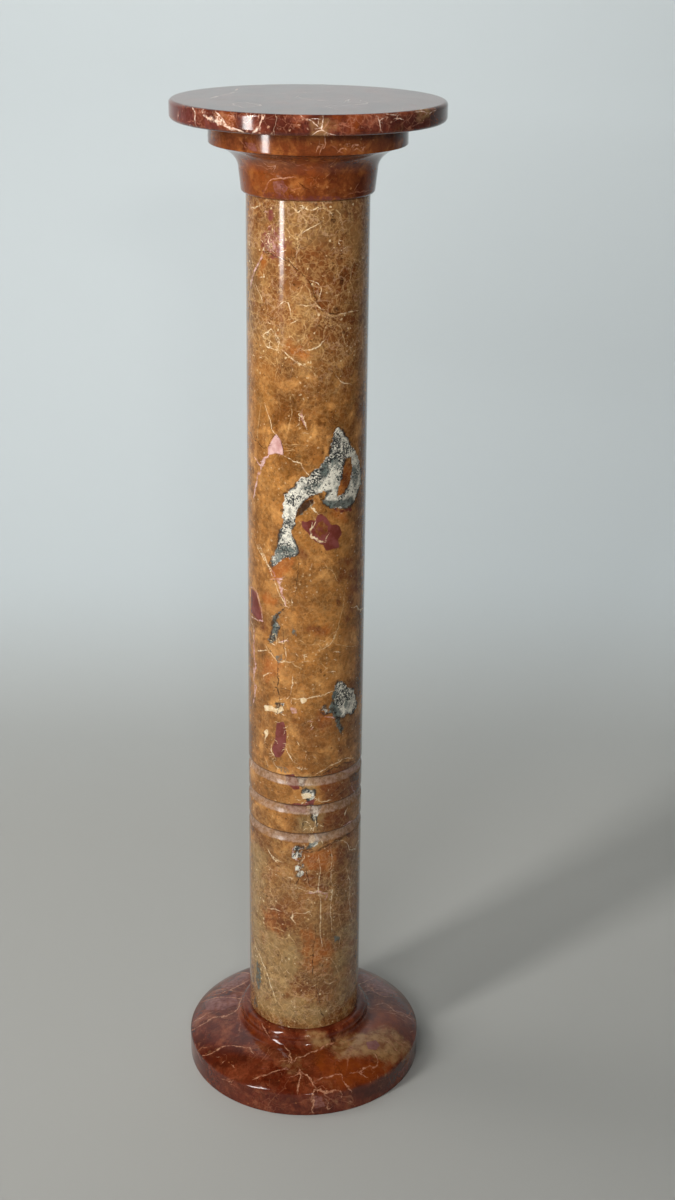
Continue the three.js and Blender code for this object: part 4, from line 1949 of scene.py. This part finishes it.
    "lower shaft, left": """
    pale: 1.5 268,849 271,854 275,858 280,861; 1.1 271,855 274,860 277,862; 295,913 304,913 310,911;
      1.2 269,908 274,909 280,911; 2.0 292,914 292,919 295,923; 1.6 255,945 260,956 265,968 271,986 276,1000
    hair: 1.2 265,862 270,868 275,874; 276,936 284,940 290,936 296,944; 266,970 274,966 280,974; 290,976
      296,982 302,986; 1.1 264,868 268,866 273,870 271,878; 1.0 270,880 270,890 275,900; 1.3 265,927 276,928
      284,932; 1.4 252,930 257,950 263,968 268,990; 270,944 278,948 282,956 279,966 284,974 288,968; 284,950
      292,956 298,958
    patch brown: 0.6 264,906 276,906 290,914 292,928 280,932 266,926; 0.4 286,950 294,950 298,956 290,958
    patch rust: 0.55 262,908 276,910 288,918 284,930 268,924
    dark: 1.0 292,912 290,918 293,924
    patch beige: 252,846 262,846 266,880 262,930 270,960 272,1012 258,1008 252,940; 264,934 292,934 300,950
      292,986 276,1010 262,980; 0.7 276,998 300,1000 326,1010 320,1024 290,1022 268,1012
    patch green: 0.85 257,960 260,966 261,980 259,991 256,980; 0.5 253,1000 256,996 258,1008 254,1006
    flecks pale: 1.3 296,1008 320,1010 282,960 288,972 273,980 314,986""",
    "lower shaft, middle and right": """
    patch rust: 0.55 302,930 316,936 330,944 330,976 316,982 304,962
    dark: 1.4 315,926 316,936 313,948 313,966 312,976; 1.3 316,986 318,996 320,1004; 1.5 320,1008 323,1016
      326,1025
    hair: 1.1 327,983 334,982 340,976; 327,993 334,993; 300,1010 308,1011 318,1010; 340,900 338,914 342,930
      338,950; 340,960 346,952 352,948; 344,980 350,972 354,960; 1.2 320,958 330,958 336,966 340,978;
      352,872 351,884 356,896; 308,898 313,904 311,912; 1.0 335,1007 341,1004 345,1000; 330,912 345,915
      352,913
    pale: 1.2 326,982 330,984 334,981; 331,848 332,862 331,876 333,890 330,906 332,930; 1.1 319,856 320,872
      318,890 321,906 320,928 322,946; 299,888 306,891 318,893 334,892; 346,868 350,880 349,900 352,920
    patch green: 0.7 334,936 340,937 340,943 335,942
    lilac: 2.4 308,893 318,892 328,894 326,898
    patch brown: 0.6 303,874 314,872 328,876 328,888 312,890 304,884; 0.55 340,846 352,842 352,880 342,884
      336,868
    patch beige: 0.55 336,940 356,920 358,990 344,1010 336,980
    flecks pale: 1.2 309,871 305,879 348,880 350,886 332,870 334,884 330,898 311,915""",
}

BASE_MARKS: MarkMap = {
    "left side": """
    pale: 1.7 207,996 215,995 224,992 235,988 243,983 249,980; 262,1024 266,1030 269,1036; 1.8 192,1023
      199,1019 206,1014 212,1012; 249,1047 252,1050 253,1052; 2.0 192,1030 200,1026 207,1021 213,1018
      222,1017 229,1015 237,1010 240,1003 242,998; 1.5 202,1056 213,1053 219,1049 225,1046 234,1046 242,1047
      250,1048
    lilac: 2.6 190,1028 196,1022 204,1018; 2.4 194,1042 197,1052 202,1062
    patch lilac: 0.6 204,1000 222,996 236,994 238,1004 222,1010 206,1010; 0.5 216,984 236,974 248,972
      248,982 230,990
    hair: 2.2 208,1016 212,1018 216,1016; 1.7 240,1001 246,996 252,1004; 239,1012 240,1022 239,1034;
      195,1052 203,1048 211,1046; 2.0 222,1079 230,1079 235,1077 231,1083; 1.8 226,1078 230,1083 236,1087;
      1.5 270,1047 266,1056 262,1060; 272,1053 268,1058
    flecks lilac: 2.2 247,972
    patch brown: 0.7 208,1048 222,1050 244,1050 246,1060 224,1068 208,1064; 0.55 190,1030 202,1034 206,1050
      196,1056
    flecks pale: 1.4 218,1057 223,1062 203,1060 233,1066 230,1082
    patch rust: 0.7 240,1008 250,1014 258,1024 252,1034 242,1030""",
    "star in the front": """
    pale: 1.8 281,1061 286,1060 292,1062 296,1060; 285,1047 289,1051 291,1058 292,1062; 294,1062 297,1058
      304,1056 308,1053 316,1051 323,1047 330,1044; 328,1104 328,1109 330,1108; 2.0 299,1068 301,1072
      306,1075 310,1080 313,1085 317,1089 324,1092 332,1091 340,1091 342,1094 341,1097; 1.7 299,1070
      300,1077 298,1086 297,1093; 254,1079 262,1076 268,1074 275,1071 280,1070; 1.4 290,1077 295,1076
      299,1074; 2.1 317,1089 313,1093 313,1100 312,1109
    hair: 1.7 317,1088 322,1086 326,1090; 280,1070 285,1068; 2.0 324,1093 330,1099 336,1104
    lilac: 2.6 284,1069 287,1069
    patch lilac: 0.55 313,1096 322,1096 325,1106 314,1109
    patch beige: 0.55 288,1062 296,1064 298,1070 290,1072
    flecks pale: 1.6 285,1069 290,1061 300,1071 313,1112
    flecks lilac: 2.0 262,1069""",
    "orange front": """
    patch rust: 318,1050 340,1056 360,1056 380,1060 392,1070 380,1084 360,1090 340,1090 324,1082 312,1066
    pale: 1.8 345,1083 348,1086 351,1091; 352,1073 358,1072 364,1069 370,1067 376,1066 378,1060 375,1054;
      1.7 316,1080 324,1078 334,1075 341,1074 342,1078; 1.5 358,1071 362,1075 366,1077
    hair: 1.7 349,1050 349,1058 347,1068; 1.4 370,1067 374,1072; 1.8 347,1102 352,1104 350,1100
    flecks pale: 1.3 338,1061 374,1072 378,1078 326,1100 351,1102""",
    "right side": """
    patch beige: 312,1036 326,1034 330,1042 350,1038 362,1034 378,1030 392,1030 404,1034 410,1044 410,1056
      398,1062 380,1062 364,1056 346,1060 334,1052 318,1050; 380,1032 398,1031 410,1040 410,1054 396,1060
      384,1054 378,1044
    patch lilac: 366,1042 376,1040 380,1045 376,1050 368,1049; 0.65 362,974 378,972 396,984 402,992 384,996
      366,990; 0.5 396,1074 408,1062 414,1050 414,1060 402,1078
    patch mauve: 368,1044 374,1043 378,1047 372,1049
    patch dark: 0.6 331,1036 335,1037 336,1042 331,1042
    hair: 2.1 346,1040 352,1048 350,1058; 2.0 390,1034 396,1042 404,1046; 1.8 372,1000 382,1000 394,1002
      402,1008; 390,1012 398,1016 408,1024
    pale: 1.5 384,1040 392,1044 398,1052; 1.7 320,1050 326,1046 334,1042; 2.0 367,984 374,992 384,996
      392,996; 1.8 375,1005 384,1003 394,1010 404,1016 414,1020
    patch brown: 0.5 394,1042 400,1044 400,1052 394,1050; 0.85 350,1090 372,1084 392,1070 404,1058 408,1066
      392,1084 370,1098 350,1104
    flecks pale: 1.4 388,1038 396,1036 402,1050 386,1050 404,1042 411,1032 408,1056
    lilac: 2.4 396,1010 404,1014 414,1022
    patch rust: 0.6 358,1008 376,1006 396,1016 400,1028 380,1030 362,1026""",
}

CAPITAL_MARKS: MarkMap = {
    "squiggles on the fascia": """
    pale: 1.2 317,150 319,146 322,147 320,152; 350,150 352,146 356,144 360,145 363,149; 1.0 325,137 325,143
      324,148; 354,150 357,147 361,151; 1.1 338,152 341,149 345,147 347,150
    hair: 1.2 332,146 337,150 343,153
    flecks pale: 1.2 347,144 365,147 319,144""",
    "dark third of the fascia": """
    patch brown: 0.7 230,136 246,140 246,150 238,150 230,144
    patch lilac: 0.5 245,142 256,143 258,152 248,150
    hair: 1.4 240,140 244,146 248,152; 1.2 219,136 220,144""",
    "neck loops": """
    pale: 1.4 269,182 272,179 277,178 283,178 288,177 294,177; 0.9 264,163 268,167 274,166; 274,170 276,165
    hair: 1.5 263,194 266,188 269,182; 1.2 255,165 262,166 268,170 272,168; 260,160 270,163 280,160 290,164;
      290,160 297,166 306,164; 318,160 326,162 336,160; 1.1 329,166 334,162 338,158; 352,194 356,188
      360,182; 1.4 345,196 350,193 362,192 370,190; 1.3 286,186 292,190 300,188; 240,168 244,166 247,172
    patch lilac: 0.5 273,182 283,180 288,188 282,196 274,192
    patch dark: 0.5 280,184 283,186 282,189
    dark: 1.2 299,183 304,187 309,189
    flecks hair: 1.8 306,170 328,175 336,172 312,166 272,174""",
    # The dark mauve band along the neck's foot is painted shade where the capital meets the shaft.
    "red-brown neck": """
    patch brown: 0.5 330,162 350,160 362,166 362,196 340,198 330,184
    patch rust: 0.5 250,166 264,172 262,186 250,184; 0.45 298,162 318,164 322,178 304,180
    patch mauve: 0.45 262,190 280,194 300,196 340,196 340,200 300,201 262,196""",
}

SLAB_MARKS: MarkMap = {
    "bold white vein": """
    pale: 4.8 204,110 208,115 214,119 222,124; 2.6 222,124 230,128 238,131 244,132; 1.6 216,112 222,118
      226,124
    hair: 1.5 224,120 232,124 228,130
    patch beige: 0.5 222,122 234,126 240,132 228,130""",
    "white fork": """
    pale: 2.4 252,134 257,129 261,124 264,117; 1.2 258,128 262,120 262,114; 1.1 248,122 252,117 256,114;
      1.0 250,118 246,113""",
    "star on the rim": """
    pale: 1.1 300,115 306,119 314,123 320,128; 1.0 323,117 323,124 321,130; 0.9 312,135 318,131 322,130
      330,134 336,135; 0.8 324,134 326,138 325,142
    hair: 1.1 330,120 326,126 322,130
    patch beige: 0.75 314,122 326,120 330,128 328,136 314,136""",
    "squiggles at the right": """
    pale: 1.1 378,118 379,124 381,130; 386,114 394,116 398,113; 1.2 396,120 399,117 402,119; 1.3 416,112
      424,111 430,113 436,110
    hair: 1.3 370,116 376,119 384,117; 1.2 402,124 408,120 412,114; 418,118 424,112 430,114; 334,126 342,124
      350,127; 408,128 416,124 424,122
    patch beige: 0.55 418,110 426,108 434,107 434,113 424,114
    flecks pale: 1.6 374,113 386,112 402,110 422,109 428,113 382,119 397,118 434,108""",
    "left end of the rim": """
    pale: 1.5 193,108 196,112 195,118 196,125
    hair: 1.3 188,122 194,120 200,124
    patch mauve: 0.6 172,104 192,110 198,124 184,124 172,116; 204,118 216,124 222,132 206,130
    flecks pale: 1.6 194,109 202,111 178,116 190,126 232,116""",
    # The strong brown patch at the rim's right end is painted shade; the orange and the fainter brown patch
    # are the stone's own.
    "orange right of the middle": """
    patch rust: 0.55 336,118 366,118 372,130 344,134
    patch brown: 0.9 392,117 420,114 444,106 446,114 440,122 422,129 396,132; 0.4 270,118 290,118 292,132
      274,134
    flecks rust: 4.0 228,120 300,126""",
    "faint veins on the top face": """
    pale: 2.0 205,101 212,98 222,95 236,92; 1.6 234,91 238,89 240,87
    hair: 2.0 222,95 230,97 240,96 252,93; 290,104 310,100 336,99 352,94; 352,107 372,102 398,100;
      1.8 300,88 324,90 340,87""",
}

SHAFT_HIDDEN = HiddenVeins(
    7, 210, 26, (HAIR, HAIR, HAIR, PALE, DARK, LILAC), (RUST, BROWN, BEIGE, MAUVE, QUARTZ)
)
BASE_HIDDEN = HiddenVeins(17, 46, 9, (HAIR, HAIR, PALE), (RUST, BROWN, BEIGE, LILAC))
CAPITAL_HIDDEN = HiddenVeins(27, 40, 7, (HAIR, HAIR, PALE), (RUST, BROWN, LILAC))
SLAB_HIDDEN = HiddenVeins(37, 34, 8, (HAIR, HAIR, PALE), (RUST, BROWN, BEIGE, MAUVE), top_veins=24)


def main() -> None:
    """Builds the camera, the studio and the four stones."""
    logging.basicConfig(level=logging.INFO, format="%(name)s: %(message)s")
    view = Viewpoint()
    view.build()
    Studio().build()
    groups = StoneGroups()
    stones = (
        BaseStone("base", "base_marble", BASE_MARBLE, BASE_MARKS, BASE_HIDDEN),
        ShaftStone("shaft", "shaft_marble", OCHRE_MARBLE, SHAFT_MARKS, SHAFT_HIDDEN),
        CapitalStone("capital", "capital_marble", CAPITAL_MARBLE, CAPITAL_MARKS, CAPITAL_HIDDEN),
        SlabStone("top_slab", "slab_marble", SLAB_MARBLE, SLAB_MARKS, SLAB_HIDDEN),
    )
    for stone in stones:
        stone.build(view, groups)


if __name__ == "__main__":
    main()
